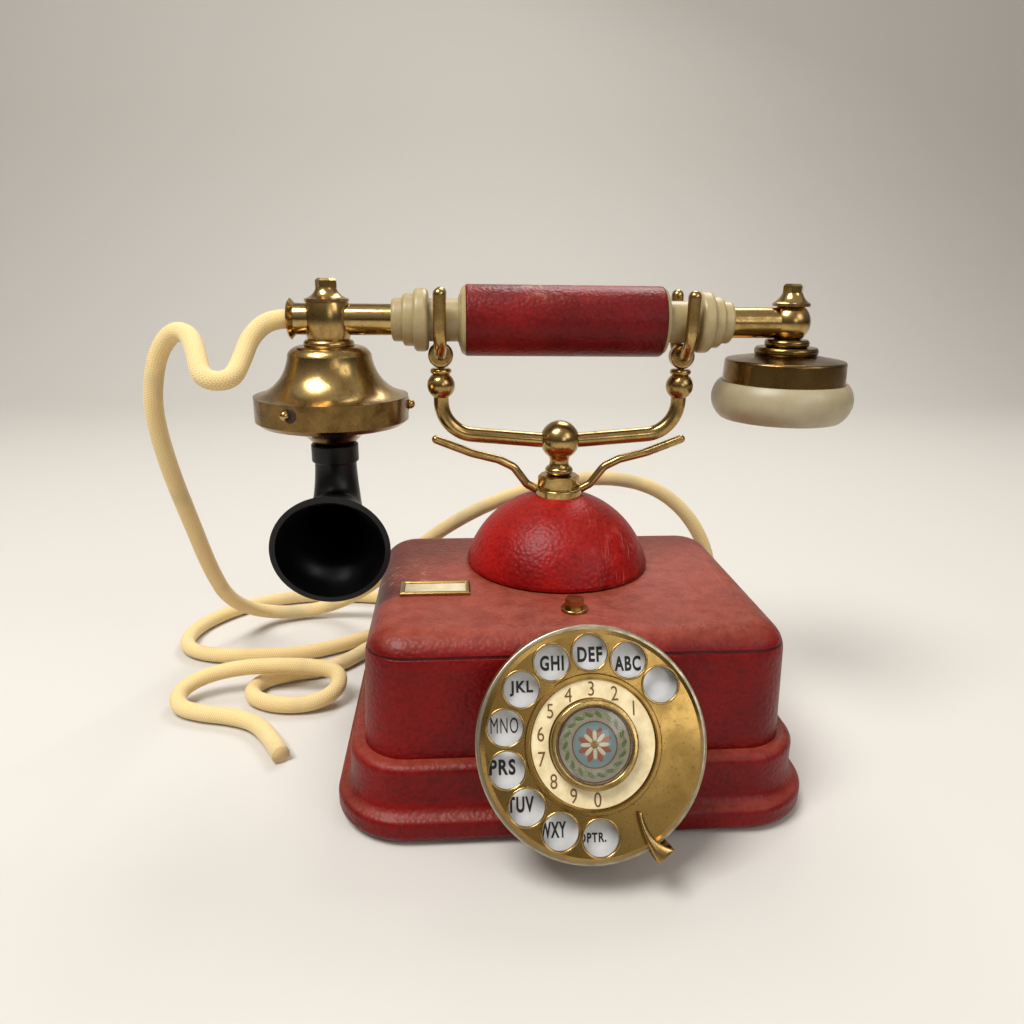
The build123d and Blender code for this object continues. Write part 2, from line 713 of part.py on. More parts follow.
def knuckle(side):
    """Turned block that joins the tube to the transmitter or the receiver."""
    radius = KNUCKLE_L_R if side < 0 else KNUCKLE_R_R
    low = KNUCKLE_L_BOTTOM if side < 0 else KNUCKLE_R_BOTTOM
    high = KNUCKLE_TOP
    ball_end_r = math.sqrt(radius**2 - ((high - low) / 2) ** 2)
    end_r = radius - KNUCKLE_L_BULGE if side < 0 else ball_end_r
    outline = [
        Line((0, low), (end_r, low)),
        ThreePointArc((end_r, low), (radius, (low + high) / 2), (end_r, high)),
        Line((end_r, high), (0, high)),
        Line((0, high), (0, low)),
    ]
    body = Pos(side * KNUCKLE_X, 0, 0) * turned(outline)
    return body - along_x(rod(HANDSET_TUBE_R, -FERRULE_END, KNUCKLE_X), 0, HANDSET_Z)


def finial(side):
    """Bell-shaped nut with a six-sided tip on top of a knuckle."""
    low = KNUCKLE_TOP
    base_r = FINIAL_BASE_R if side < 0 else FINIAL_BASE_R - 1.2
    tip = low + FINIAL_H
    shoulder = low + 0.6 * FINIAL_H
    outline = [
        Line((0, low), (base_r, low)),
        Line((base_r, low), (base_r, low + 1.2)),
        ThreePointArc(
            (base_r, low + 1.2), (FINIAL_TOP_R + 1.0, low + 0.36 * FINIAL_H), (FINIAL_TOP_R - 0.2, shoulder)
        ),
        Line((FINIAL_TOP_R - 0.2, shoulder), (0, shoulder)),
        Line((0, shoulder), (0, low)),
    ]
    knob = extrude(Pos(0, 0, shoulder) * RegularPolygon(FINIAL_TOP_R, 6), tip - shoulder)
    knob = chamfer(knob.edges().group_by(Axis.Z)[-1], 0.9)
    return Pos(side * KNUCKLE_X, 0, 0) * (turned(outline) + knob)


def transmitter_bell():
    """Spun brass bell: bead, shoulder and flare to a rolled rim."""
    top = KNUCKLE_L_BOTTOM
    bead_r = KNUCKLE_L_R + 0.7
    bead_low = top - 3.4
    neck_r = bead_r - 1.4
    mid_r = BELL_SHOULDER_R + 0.30 * (BELL_RIM_R - BELL_SHOULDER_R)
    mid_z = BELL_SHOULDER_Z - 0.62 * (BELL_SHOULDER_Z - BELL_RIM_Z)
    outline = [
        Line((0, top), (bead_r - 1.0, top)),
        ThreePointArc((bead_r - 1.0, top), (bead_r, (top + bead_low) / 2), (bead_r - 1.0, bead_low)),
        Line((bead_r - 1.0, bead_low), (neck_r, bead_low)),
        ThreePointArc(
            (neck_r, bead_low), (BELL_SHOULDER_R - 1.6, bead_low - 0.5), (BELL_SHOULDER_R, BELL_SHOULDER_Z)
        ),
        ThreePointArc((BELL_SHOULDER_R, BELL_SHOULDER_Z), (mid_r, mid_z), (BELL_RIM_R, BELL_RIM_Z)),
        Line((BELL_RIM_R, BELL_RIM_Z), (BELL_RIM_R - BELL_WALL, BELL_RIM_Z)),
        ThreePointArc(
            (BELL_RIM_R - BELL_WALL, BELL_RIM_Z),
            (mid_r - BELL_WALL, mid_z - BELL_WALL),
            (BELL_SHOULDER_R - BELL_WALL, BELL_SHOULDER_Z - BELL_WALL),
        ),
        Line((BELL_SHOULDER_R - BELL_WALL, BELL_SHOULDER_Z - BELL_WALL), (0, BELL_SHOULDER_Z - BELL_WALL)),
        Line((0, BELL_SHOULDER_Z - BELL_WALL), (0, top)),
    ]
    return Pos(-KNUCKLE_X, 0, 0) * turned(outline)


def transmitter_band():
    """Brass cover under the bell: side band, shallow floor and the outlet for the horn."""
    wall = BAND_WALL
    outline = Polyline(
        (BAND_R, BELL_RIM_Z),
        (BAND_R, BAND_BOTTOM + 2.0),
        (BAND_R - 2.5, BAND_BOTTOM),
        (OUTLET_R + 4.0, OUTLET_Z + 1.4),
        (OUTLET_R, OUTLET_Z),
        (OUTLET_TIP_R + 1.2, HORN_TOP),
        (OUTLET_TIP_R, HORN_TOP),
        (OUTLET_TIP_R, OUTLET_TIP_Z),
        (OUTLET_TIP_R - wall, OUTLET_TIP_Z),
        (OUTLET_TIP_R - wall, OUTLET_Z + wall),
        (OUTLET_R + 4.0, OUTLET_Z + 1.4 + wall),
        (BAND_R - 2.5, BAND_BOTTOM + wall),
        (BAND_R - wall, BAND_BOTTOM + 2.0 + wall),
        (BAND_R - wall, BELL_RIM_Z),
        close=True,
    )
    return Pos(-KNUCKLE_X, 0, 0) * turned(outline)


def transmitter_capsule():
    """Carbon capsule on the band's floor."""
    low = BAND_BOTTOM + BAND_WALL
    body = rod(CAPSULE_R, low, low + CAPSULE_H)
    return Pos(-KNUCKLE_X, 0, 0) * fillet(body.edges(), 1.5)


def horn_loft(shrink, top, mouth_y):
    """Curved horn from its upright neck to its round mouth, thinner by shrink."""
    neck_low = HORN_MOUTH_Z + 17.0
    neck = HORN_NECK_R - shrink
    sections = [
        (0.0, top, -90.0, neck),
        (0.0, neck_low, -90.0, neck),
        (-4.6, HORN_MOUTH_Z + 4.6, -45.0, neck + 1.5),
        (-17.0, HORN_MOUTH_Z, -HORN_PITCH / 2, neck + 3.5),
        (-32.0, HORN_MOUTH_Z - 0.8, -HORN_PITCH, HORN_MOUTH_R - 6.5 - shrink),
        (mouth_y, HORN_MOUTH_Z - 2.2, -HORN_PITCH, HORN_MOUTH_R - shrink),
    ]
    circles = []
    for y, z, pitch, radius in sections:
        heading = (0, -math.cos(math.radians(pitch)), math.sin(math.radians(pitch)))
        circles.append(Plane(origin=(0, y, z), x_dir=(1, 0, 0), z_dir=heading) * Circle(radius))
    return loft(circles)


def horn():
    """Black mouthpiece horn, pushed over the outlet's tip and turned a little towards the box."""
    body = horn_loft(0, OUTLET_TIP_Z, HORN_MOUTH_Y) + rod(HORN_COLLAR_R, HORN_TOP - HORN_COLLAR_H, HORN_TOP)
    body -= horn_loft(HORN_WALL, OUTLET_TIP_Z, HORN_MOUTH_Y)
    body -= rod(OUTLET_TIP_R, OUTLET_TIP_Z - 0.4, HORN_TOP)
    rim = body.edges().filter_by(GeomType.CIRCLE).group_by(Axis.Y)[0]
    body = fillet(rim, HORN_RIM_R)
    return Pos(-KNUCKLE_X, 0, 0) * Rot(0, 0, HORN_SWIVEL) * body


def receiver_cup():
    """Brass receiver cup: bead, disc, a low cone to the shoulder and a straight side."""
    top = KNUCKLE_R_BOTTOM
    bead_r = 9.6
    bead_low = top - 3.4
    shoulder = CUP_TOP - CUP_CONE
    shoulder_r = CUP_R - CUP_TAPER
    inner_r = shoulder_r - CUP_WALL
    ceiling = shoulder - CUP_WALL
    outline = [
        Line((0, top), (bead_r - 1.2, top)),
        ThreePointArc((bead_r - 1.2, top), (bead_r, (top + bead_low) / 2), (bead_r - 1.2, bead_low)),
        Line((bead_r - 1.2, bead_low), (CUP_DISC_R - 0.8, bead_low)),
        ThreePointArc(
            (CUP_DISC_R - 0.8, bead_low), (CUP_DISC_R, (bead_low + CUP_TOP) / 2), (CUP_DISC_R - 0.8, CUP_TOP)
        ),
        Line((CUP_DISC_R - 0.8, CUP_TOP), (shoulder_r, shoulder)),
        Line((shoulder_r, shoulder), (CUP_R, CUP_BOTTOM)),
        Line((CUP_R, CUP_BOTTOM), (CUP_R - CUP_WALL, CUP_BOTTOM)),
        Line((CUP_R - CUP_WALL, CUP_BOTTOM), (inner_r, ceiling)),
        Line((inner_r, ceiling), (0, ceiling)),
        Line((0, ceiling), (0, top)),
    ]
    cup = turned(outline)
    edge = cup.edges().filter_by(GeomType.CIRCLE).sort_by_distance((shoulder_r, 0, shoulder))[0]
    return Pos(KNUCKLE_X, 0, 0) * fillet(edge, CUP_EDGE_R)


def receiver_cap():
    """Rounded ivory ear cap that holds the cup's rim, with sound holes."""
    widest = (CAP_TOP + CAP_BOTTOM) / 2 + CAP_WIDEST_RISE
    lip_r = CUP_R
    foot_r = CAP_R - CAP_FOOT_INSET
    edge_r = lip_r + CAP_LIP_W
    outline = [
        Line((lip_r, CAP_TOP), (edge_r, CAP_TOP)),
        TangentArc((CAP_R, widest), (edge_r, CAP_TOP), tangent=(0, 1)),
        TangentArc((CAP_R, widest), (foot_r, CAP_BOTTOM), tangent=(0, -1)),
        dome_arc(foot_r, CAP_BOTTOM, 0, CAP_BOTTOM + CAP_HOLLOW),
        Line((0, CAP_BOTTOM + CAP_HOLLOW), (0, CAP_FLOOR)),
        Line((0, CAP_FLOOR), (lip_r, CAP_FLOOR)),
        Line((lip_r, CAP_FLOOR), (lip_r, CAP_TOP)),
    ]
    cap = turned(outline)
    cap -= rod(CAP_HOLE_R, CAP_BOTTOM, CAP_TOP)
    cap -= PolarLocations(CAP_HOLE_R * 3.2, 6) * rod(CAP_HOLE_R * 0.7, CAP_BOTTOM, CAP_TOP)
    return Pos(KNUCKLE_X, 0, 0) * cap


def receiver_capsule():
    """Receiver capsule between the cup and the ear cap."""
    body = rod(RECEIVER_CAPSULE_R, CAP_FLOOR, CAP_FLOOR + RECEIVER_CAPSULE_H)
    return Pos(KNUCKLE_X, 0, 0) * fillet(body.edges(), 1.2)


# Dial

def finger_wheel():
    """Brass finger wheel: ten holes, a raised inner rim and a sunk web."""
    top = WHEEL_T / 2
    low = -WHEEL_T / 2
    web = low + WHEEL_WEB_T
    rim_inner = WHEEL_RIM_R - WHEEL_RIM_W
    outline = Polyline(
        (DIAL_SHAFT_R, low),
        (WHEEL_R, low),
        (WHEEL_R, low + 0.6),
        (WHEEL_R - 1.6, top),
        (WHEEL_RIM_R, top),
        (WHEEL_RIM_R - 0.4, top + WHEEL_RIM_H),
        (rim_inner + 0.4, top + WHEEL_RIM_H),
        (rim_inner, top),
        (rim_inner, web),
        (DIAL_SHAFT_R, web),
        close=True,
    )
    wheel = turned(outline)
    for index in range(HOLE_COUNT):
        angle = math.radians(HOLE_FIRST + index * HOLE_STEP)
        place = Pos(HOLE_PITCH_R * math.cos(angle), HOLE_PITCH_R * math.sin(angle), 0)
        wheel -= place * Cylinder(HOLE_R, 4 * WHEEL_T)
    return wheel


WEB_TOP = -WHEEL_T / 2 + WHEEL_WEB_T


def number_ring():
    """Ivory ring with the figures, sunk in the wheel."""
    return ring(RING_R, RING_INNER_R, WEB_TOP, WEB_TOP + RING_T)


def medallion_bezel():
    """Brass bezel round the medallion."""
    body = ring(BEZEL_R, BEZEL_R - BEZEL_WALL, WEB_TOP, WEB_TOP + BEZEL_H)
    return fillet(body.edges().group_by(Axis.Z)[-1], 0.7)


def medallion_disc():
    """Disc that carries the picture, inside the bezel."""
    return rod(BEZEL_R - BEZEL_WALL, WEB_TOP, WEB_TOP + MEDALLION_T)


def medallion_glass():
    """Domed glass over the medallion."""
    r = BEZEL_R - BEZEL_WALL
    low = WEB_TOP + MEDALLION_T
    edge = low + 0.8
    outline = [
        Line((0, low), (r, low)),
        Line((r, low), (r, edge)),
        dome_arc(r, edge, 0, edge + GLASS_RISE),
        Line((0, edge + GLASS_RISE), (0, low)),
    ]
    return turned(outline)


def dial_shaft():
    """Shaft from the wheel's web back to the bridge."""
    return rod(DIAL_SHAFT_R, BRIDGE_W, WEB_TOP)


def main_gear():
    """Gear on the dial shaft that drives the governor."""
    return (Pos(0, 0, GEAR_W) * gear(MAIN_TEETH, GEAR_T)) - rod(DIAL_SHAFT_R, GEAR_W - 1, GEAR_W + GEAR_T + 1)


GOVERNOR_U = GEAR_MODULE * (MAIN_TEETH + PINION_TEETH) / 2


def governor():
    """Governor: pinion, shaft and brake drum, beside the main gear."""
    half_tooth = 180.0 / PINION_TEETH
    body = rod(GOVERNOR_SHAFT_R, BRIDGE_W + 0.2, FRAME_PLATE_W + FRAME_PLATE_T)
    body += Pos(0, 0, GEAR_W - 0.2) * Rot(0, 0, half_tooth) * gear(PINION_TEETH, GEAR_T + 0.4)
    drum_top = GEAR_W - 0.8
    body += rod(GOVERNOR_DRUM_R, drum_top - GOVERNOR_DRUM_H, drum_top)
    return Pos(GOVERNOR_U, 0, 0) * body


def dial_frame():
    """Mechanism plate in the cup, with posts and a bridge for the rear bearings."""
    plate = rod(DIAL_CUP_R - DIAL_CUP_WALL, FRAME_PLATE_W, FRAME_PLATE_W + FRAME_PLATE_T)
    bridge = Pos(GOVERNOR_U / 2, 0, BRIDGE_W) * extrude(SlotCenterToCenter(GOVERNOR_U, 12.0), BRIDGE_T)
    strap = Pos(-7.0, 0, BRIDGE_W) * extrude(Rectangle(34.0, 8.0), BRIDGE_T)
    frame = plate + bridge + strap
    frame += Pos(-21.0, 0, 0) * rod(2.5, BRIDGE_W, FRAME_PLATE_W)
    for side in (-1, 1):
        frame += Pos(GOVERNOR_U + 3.2, side * 8.4, 0) * rod(1.6, BRIDGE_W, FRAME_PLATE_W)
        frame += Pos(GOVERNOR_U + 3.2, side * 6.0, BRIDGE_W) * extrude(Rectangle(3.2, 8.0), BRIDGE_T)
    frame -= rod(DIAL_SHAFT_R + RUN_FIT, BRIDGE_W - 1, FRAME_PLATE_W + FRAME_PLATE_T + 1)
    return frame - Pos(GOVERNOR_U, 0, 0) * rod(GOVERNOR_SHAFT_R + RUN_FIT, BRIDGE_W - 1, 0)


def pulse_contacts():
    """Two leaf contacts on an insulating block under the mechanism plate."""
    high = FRAME_PLATE_W
    body = block(-8.0, 8.0, 22.0, 28.0, high - 6.0, high)
    for drop in (2.0, 4.4):
        body += block(-22.0, -6.0, 24.0, 26.0, high - drop - 0.4, high - drop)
    return body


def letter_plate():
    """White enamelled plate under the finger holes."""
    return ring(LETTER_PLATE_R, DIAL_SHAFT_R + 2.0, LETTER_PLATE_UNDER, LETTER_PLATE_TOP)


def dial_rim():
    """Nickel rim round the letter plate and the cup's flange."""
    high = -WHEEL_T / 2 - 0.6
    low = high - DIAL_RIM_H
    body = ring(DIAL_RIM_R, LETTER_PLATE_R, low, high)
    body -= rod(CUP_FLANGE_R, low - 1, LETTER_PLATE_UNDER)
    outer = [edge for edge in body.edges().group_by(Axis.Z)[-1] if edge.radius > LETTER_PLATE_R + 0.5]
    return fillet(outer, 0.9)


def dial_cup():
    """Bowl behind the dial that carries the mechanism and lets into the box."""
    wall = DIAL_CUP_WALL
    flange = rod(CUP_FLANGE_R, LETTER_PLATE_UNDER - 1.4, LETTER_PLATE_UNDER)
    return dial_bowl(0) + flange - dial_bowl(-wall) - rod(DIAL_CUP_R - wall, -DIAL_CUP_STRAIGHT, 0)


def finger_stop():
    """Tapered brass hook over the wheel, clipped to the rim."""
    low = WHEEL_T / 2 + WHEEL_RIM_H + STOP_LIFT
    blade = Polyline((23.5, -1.2), (24.5, 1.6), (35.0, 3.4), (DIAL_RIM_R + STOP_T, 4.6),
                     (DIAL_RIM_R + STOP_T, -4.6), (35.0, -2.2), close=True)
    body = Pos(0, 0, low) * extrude(make_face(blade), STOP_T)
    leg_low = -WHEEL_T / 2 - 0.6 - DIAL_RIM_H
    sector = Polyline((0, 0), (60.0, -6.4), (60.0, 6.4), close=True)
    leg = ring(DIAL_RIM_R + STOP_T, DIAL_RIM_R, leg_low, low + STOP_T)
    body += leg & Pos(0, 0, leg_low) * extrude(make_face(sector), low + STOP_T - leg_low)
    return Rot(0, 0, STOP_ANGLE) * body


# Top fittings

def card_frame():
    """Brass frame for the number card."""
    outer = Rectangle(CARD_LENGTH, CARD_WIDTH)
    inner = Rectangle(CARD_LENGTH - 2 * CARD_FRAME_W, CARD_WIDTH - 2 * CARD_FRAME_W)
    frame = Pos(CARD_X, CARD_Y, BOX_TOP) * extrude(outer - inner, CARD_FRAME_H)
    return chamfer(frame.edges().group_by(Axis.Z)[-1], 0.4)


def number_card():
    """Card inside the frame."""
    card = Rectangle(CARD_LENGTH - 2 * CARD_FRAME_W, CARD_WIDTH - 2 * CARD_FRAME_W)
    return Pos(CARD_X, CARD_Y, BOX_TOP) * extrude(card, CARD_FRAME_H / 2)


def cover_nut():
    """Flanged nut on a stud that holds the box down."""
    flange = rod(COVER_NUT_FLANGE_R, BOX_TOP, BOX_TOP + 1.4)
    hexagon = Pos(0, 0, BOX_TOP + 1.4) * extrude(
        RegularPolygon(COVER_NUT_AF / 2, 6, major_radius=False), COVER_NUT_H - 1.4
    )
    stud = rod(COVER_STUD_R, BOX_TOP - COVER_STUD_L, BOX_TOP)
    return Pos(0, COVER_NUT_Y, 0) * (fillet(flange.edges().group_by(Axis.Z)[-1], 0.6) + hexagon + stud)


# Works inside the box

def gong_points():
    """Places of the two gongs."""
    return [(GONG_X, GONG_Y - GONG_SPACING / 2), (GONG_X, GONG_Y + GONG_SPACING / 2)]


def gongs():
    """Two bell-metal gongs on their posts."""
    crown = GONG_Z + GONG_H
    outline = [
        ThreePointArc((GONG_R, GONG_Z), (GONG_R * 0.82, GONG_Z + GONG_H * 0.72), (GONG_R * 0.45, crown)),
        Line((GONG_R * 0.45, crown), (RINGER_POST_R, crown)),
        Line((RINGER_POST_R, crown), (RINGER_POST_R, crown - GONG_WALL)),
        Line((RINGER_POST_R, crown - GONG_WALL), (GONG_R * 0.45, crown - GONG_WALL)),
        ThreePointArc(
            (GONG_R * 0.45, crown - GONG_WALL),
            (GONG_R * 0.82 - GONG_WALL, GONG_Z + GONG_H * 0.72 - GONG_WALL * 0.6),
            (GONG_R - GONG_WALL, GONG_Z),
        ),
        Line((GONG_R - GONG_WALL, GONG_Z), (GONG_R, GONG_Z)),
    ]
    gong = turned(outline)
    return Compound(children=[Pos(x, y, 0) * gong for x, y in gong_points()])


def ringer_frame():
    """Plate with the gong posts, the coil cheek and the clapper's pivot."""
    low = PLATE_TOP
    high = low + RINGER_PLATE_T
    body = block(
        GONG_X - RINGER_PLATE_MARGIN, CHEEK_X + CHEEK_T,
        GONG_Y - RINGER_PLATE_HALF, GONG_Y + RINGER_PLATE_HALF, low, high
    )
    crown = GONG_Z + GONG_H
    for x, y in gong_points():
        body += Pos(x, y, 0) * rod(RINGER_POST_R, high, crown)
        body += Pos(x, y, 0) * rod(RINGER_POST_R + 2.0, high, crown - GONG_WALL)
    body += Pos(CLAPPER_PIVOT_X, GONG_Y, 0) * rod(CLAPPER_PIN_R, high, GONG_Z + CLAPPER_PIN_RISE)
    body += block(CHEEK_X, CHEEK_X + CHEEK_T, GONG_Y - COIL_SPACING, GONG_Y + COIL_SPACING, high, high + CHEEK_H)
    return body


def ringer_coils():
    """Two ringer coils against the frame's cheek."""
    coils = []
    for side in (-1, 1):
        coil = Rot(0, 90, 0) * rod(COIL_R, 0, COIL_L)
        y = GONG_Y + side * COIL_SPACING / 2
        coils.append(Pos(CHEEK_X + CHEEK_T, y, PLATE_TOP + RINGER_PLATE_T + COIL_R + 4.0) * coil)
    return Compound(children=coils)


def clapper():
    """Armature on the pivot pin, with the rod and ball that strike the gongs."""
    top = GONG_Z + CLAPPER_PIN_RISE - 1.0
    low = top - CLAPPER_HUB_H
    hub_r = CLAPPER_PIN_R + 2.5
    hub = ring(hub_r, CLAPPER_PIN_R + RUN_FIT, low, top)
    reach = CLAPPER_PIVOT_X - GONG_X
    arm = Rot(0, -90, 0) * rod(CLAPPER_ARM_R, hub_r - 1.0, reach)
    striker = Pos(0, 0, top - CLAPPER_HUB_H / 3) * (arm + Pos(-reach, 0, 0) * Sphere(CLAPPER_BALL_R))
    bar = block(-ARMATURE_T / 2, ARMATURE_T / 2, -ARMATURE_HALF, ARMATURE_HALF, low, low + ARMATURE_H)
    bar -= rod(hub_r - 1.0, low, top)
    return Pos(CLAPPER_PIVOT_X, GONG_Y, 0) * (hub + striker + bar)


def switch_bracket():
    """Bracket under the box's ceiling that carries the switch lever."""
    under = CASING_CEILING - SWITCH_PLATE_T
    low = SWITCH_PIN_Z - SWITCH_EAR_BELOW
    front = SWITCH_Y - SWITCH_FRONT
    back = SWITCH_Y + SWITCH_BACK
    ear_out = SWITCH_EAR_X + SWITCH_EAR_T
    half = ear_out + SWITCH_PLATE_MARGIN
    body = block(-half, half, front, back, under, CASING_CEILING)
    for side in (-1, 1):
        ear_x = sorted((side * SWITCH_EAR_X, side * ear_out))
        body += block(ear_x[0], ear_x[1], front, back, low, under)
    pin = Pos(0, SWITCH_Y, SWITCH_PIN_Z) * Rot(0, 90, 0) * Cylinder(SWITCH_PIN_R + RUN_FIT, 2 * half)
    return body - pin


def hook_lever():
    """Lever on a cross pin under the stem."""
    pin = Pos(0, SWITCH_Y, SWITCH_PIN_Z) * Rot(0, 90, 0) * Cylinder(SWITCH_PIN_R, 2 * SWITCH_EAR_X + 8)
    half = SWITCH_EAR_X - SEAT_GAP
    hub = Pos(0, SWITCH_Y, SWITCH_PIN_Z) * Rot(0, 90, 0) * Cylinder(SWITCH_PIN_R + 1.6, 2 * half)
    pad_top = STEM_BOTTOM - SEAT_GAP
    arm = block(-4.0, 4.0, -4.0, SWITCH_Y, pad_top - 2.0, pad_top)
    return hub + pin + arm


def contact_springs():
    """Stack of leaf springs on an insulating block between the bracket's ears."""
    low = SWITCH_PIN_Z - SWITCH_EAR_BELOW
    body = block(-SWITCH_EAR_X, SWITCH_EAR_X, SWITCH_Y, SWITCH_Y + SWITCH_BACK, low, low + 9.0)
    for rise in (2.0, 4.5, 7.0):
        body += block(-3.0, 3.0, -2.0, SWITCH_Y + 2, low + rise, low + rise + 0.5)
    return body


def network_box():
    """Induction coil and condenser in one can on the base plate."""
    right = BOX_WIDTH / 2 - NETWORK_INSET
    half = NETWORK_L / 2
    can = block(right - NETWORK_W, right, NETWORK_Y - half, NETWORK_Y + half, PLATE_TOP, PLATE_TOP + NETWORK_H)
    return fillet(can.edges().filter_by(Axis.Z), 3.0)


def terminal_block():
    """Terminal block with its row of screws."""
    right = BOX_WIDTH / 2 - NETWORK_INSET
    half = TERMINAL_W / 2
    top = PLATE_TOP + TERMINAL_H
    body = block(right - TERMINAL_L, right, TERMINAL_Y - half, TERMINAL_Y + half, PLATE_TOP, top)
    for index in range(5):
        x = right - TERMINAL_L * (index + 0.5) / 5
        body += Pos(x, TERMINAL_Y, 0) * rod(2.4, top, top + 1.6)
    return body


def cord_grommets():
    """Two bushes in the plinth's back for the cords."""
    bushes = []
    inner_y = BOX_BACK - PLINTH_INNER
    bush = ring(CORD_R + GROMMET_WALL, CORD_R, 0, GROMMET_END - inner_y)
    for x in (HANDSET_GROMMET_X, LINE_GROMMET_X):
        bushes.append(Pos(x, inner_y, GROMMET_Z) * Rot(-90, 0, 0) * bush)
    return Compound(children=bushes)


# Cords

HANDSET_CORD_ROUTE = [
    (-FERRULE_END, 0, HANDSET_Z),
    (-FERRULE_END - 7.7, 0, HANDSET_Z),
    (-131.5, -4.0, 182.0),
    (-134.0, -11.0, 173.0),
    (-136.5, -20.0, 165.5),
    (-147.5, -21.5, 166.0),
    (-151.5, -12.0, 175.0),
    (-156.0, -3.0, 182.5),
    (-164.0, 1.0, 184.0),
    (-172.0, 3.0, 175.0),
    (-176.5, 4.0, 160.0),
    (-178.0, 6.0, 145.0),
    (-177.0, 14.0, 120.0),
    (-175.0, 27.0, 92.0),
    (-175.0, 48.0, 58.0),
    (-176.0, 76.0, 29.0),
    (-166.0, 101.0, 10.0),
    (-144.0, 112.0, 4.2),
    (-121.0, 113.0, 9.0),
    (-100.0, 104.0, 24.0),
    (-80.0, 93.0, 44.0),
    (-56.0, 84.0, 67.0),
    (-26.0, 80.0, 85.0),
    (6.0, 80.0, 95.0),
    (36.0, 80.0, 99.0),
    (62.0, 80.0, 94.5),
    (82.0, 80.0, 82.0),
    (97.0, 80.0, 62.0),
    (105.0, 82.0, 38.0),
    (106.0, 90.0, 16.0),
    (97.0, 104.0, 5.0),
    (76.0, 114.0, 4.2),
    (48.0, 116.0, 4.2),
    (16.0, 114.0, 4.2),
    (-18.0, 116.0, 4.2),
    (-52.0, 122.0, 4.2),
    (-86.0, 131.0, 4.2),
    (-120.0, 138.0, 4.2),
    (-150.0, 138.0, 4.2),
    (-176.0, 127.0, 4.2),
    (-195.0, 107.0, 4.2),
    (-203.0, 86.0, 4.2),
    (-200.0, 67.0, 4.2),
    (-184.0, 57.0, 4.2),
    (-160.0, 55.0, 4.2),
    (-134.0, 56.0, 4.2),
    (-112.0, 66.0, 4.2),
    (-94.0, 80.0, 4.2),
    (-70.0, 91.0, 4.2),
    (-46.0, 91.0, 4.2),
    (-28.0, 82.0, 7.0),
    (-21.0, 73.0, 12.0),
    (HANDSET_GROMMET_X, GROMMET_END + 7.0, GROMMET_Z),
    (HANDSET_GROMMET_X, GROMMET_END, GROMMET_Z),
]

LINE_CORD_ROUTE = [
    (LINE_GROMMET_X, GROMMET_END, GROMMET_Z),
    (LINE_GROMMET_X, GROMMET_END + 6.0, GROMMET_Z),
    (-63.0, 68.5, 11.0),
    (-70.0, 73.0, 6.5),
    (-83.0, 72.0, 4.2),
    (-96.0, 63.0, 4.2),
    (-105.0, 49.0, 4.2),
    (-117.0, 38.0, 4.2),
    (-135.0, 34.0, 4.2),
    (-150.0, 26.0, 4.2),
    (-151.0, 12.0, 4.2),
    (-138.0, 3.0, 4.2),
    (-120.0, 2.0, 4.2),
    (-107.0, 7.0, 8.0),
    (-106.0, 17.0, 13.0),
    (-118.0, 22.0, 14.4),
    (-138.0, 24.0, 14.6),
    (-158.0, 24.0, 14.0),
    (-176.0, 21.0, 11.0),
    (-186.0, 13.0, 7.0),
    (-183.0, 3.0, 4.2),
    (-170.0, -3.0, 4.2),
    (-156.0, -6.0, 4.2),
    (-143.0, -12.0, 4.2),
    (-133.0, -24.0, 4.2),
    (-125.0, -39.0, 4.2),
]


def on_dial(shape):
    """Put a dial piece on the tilted dial plane."""
    return DIAL_PLANE.location * shape


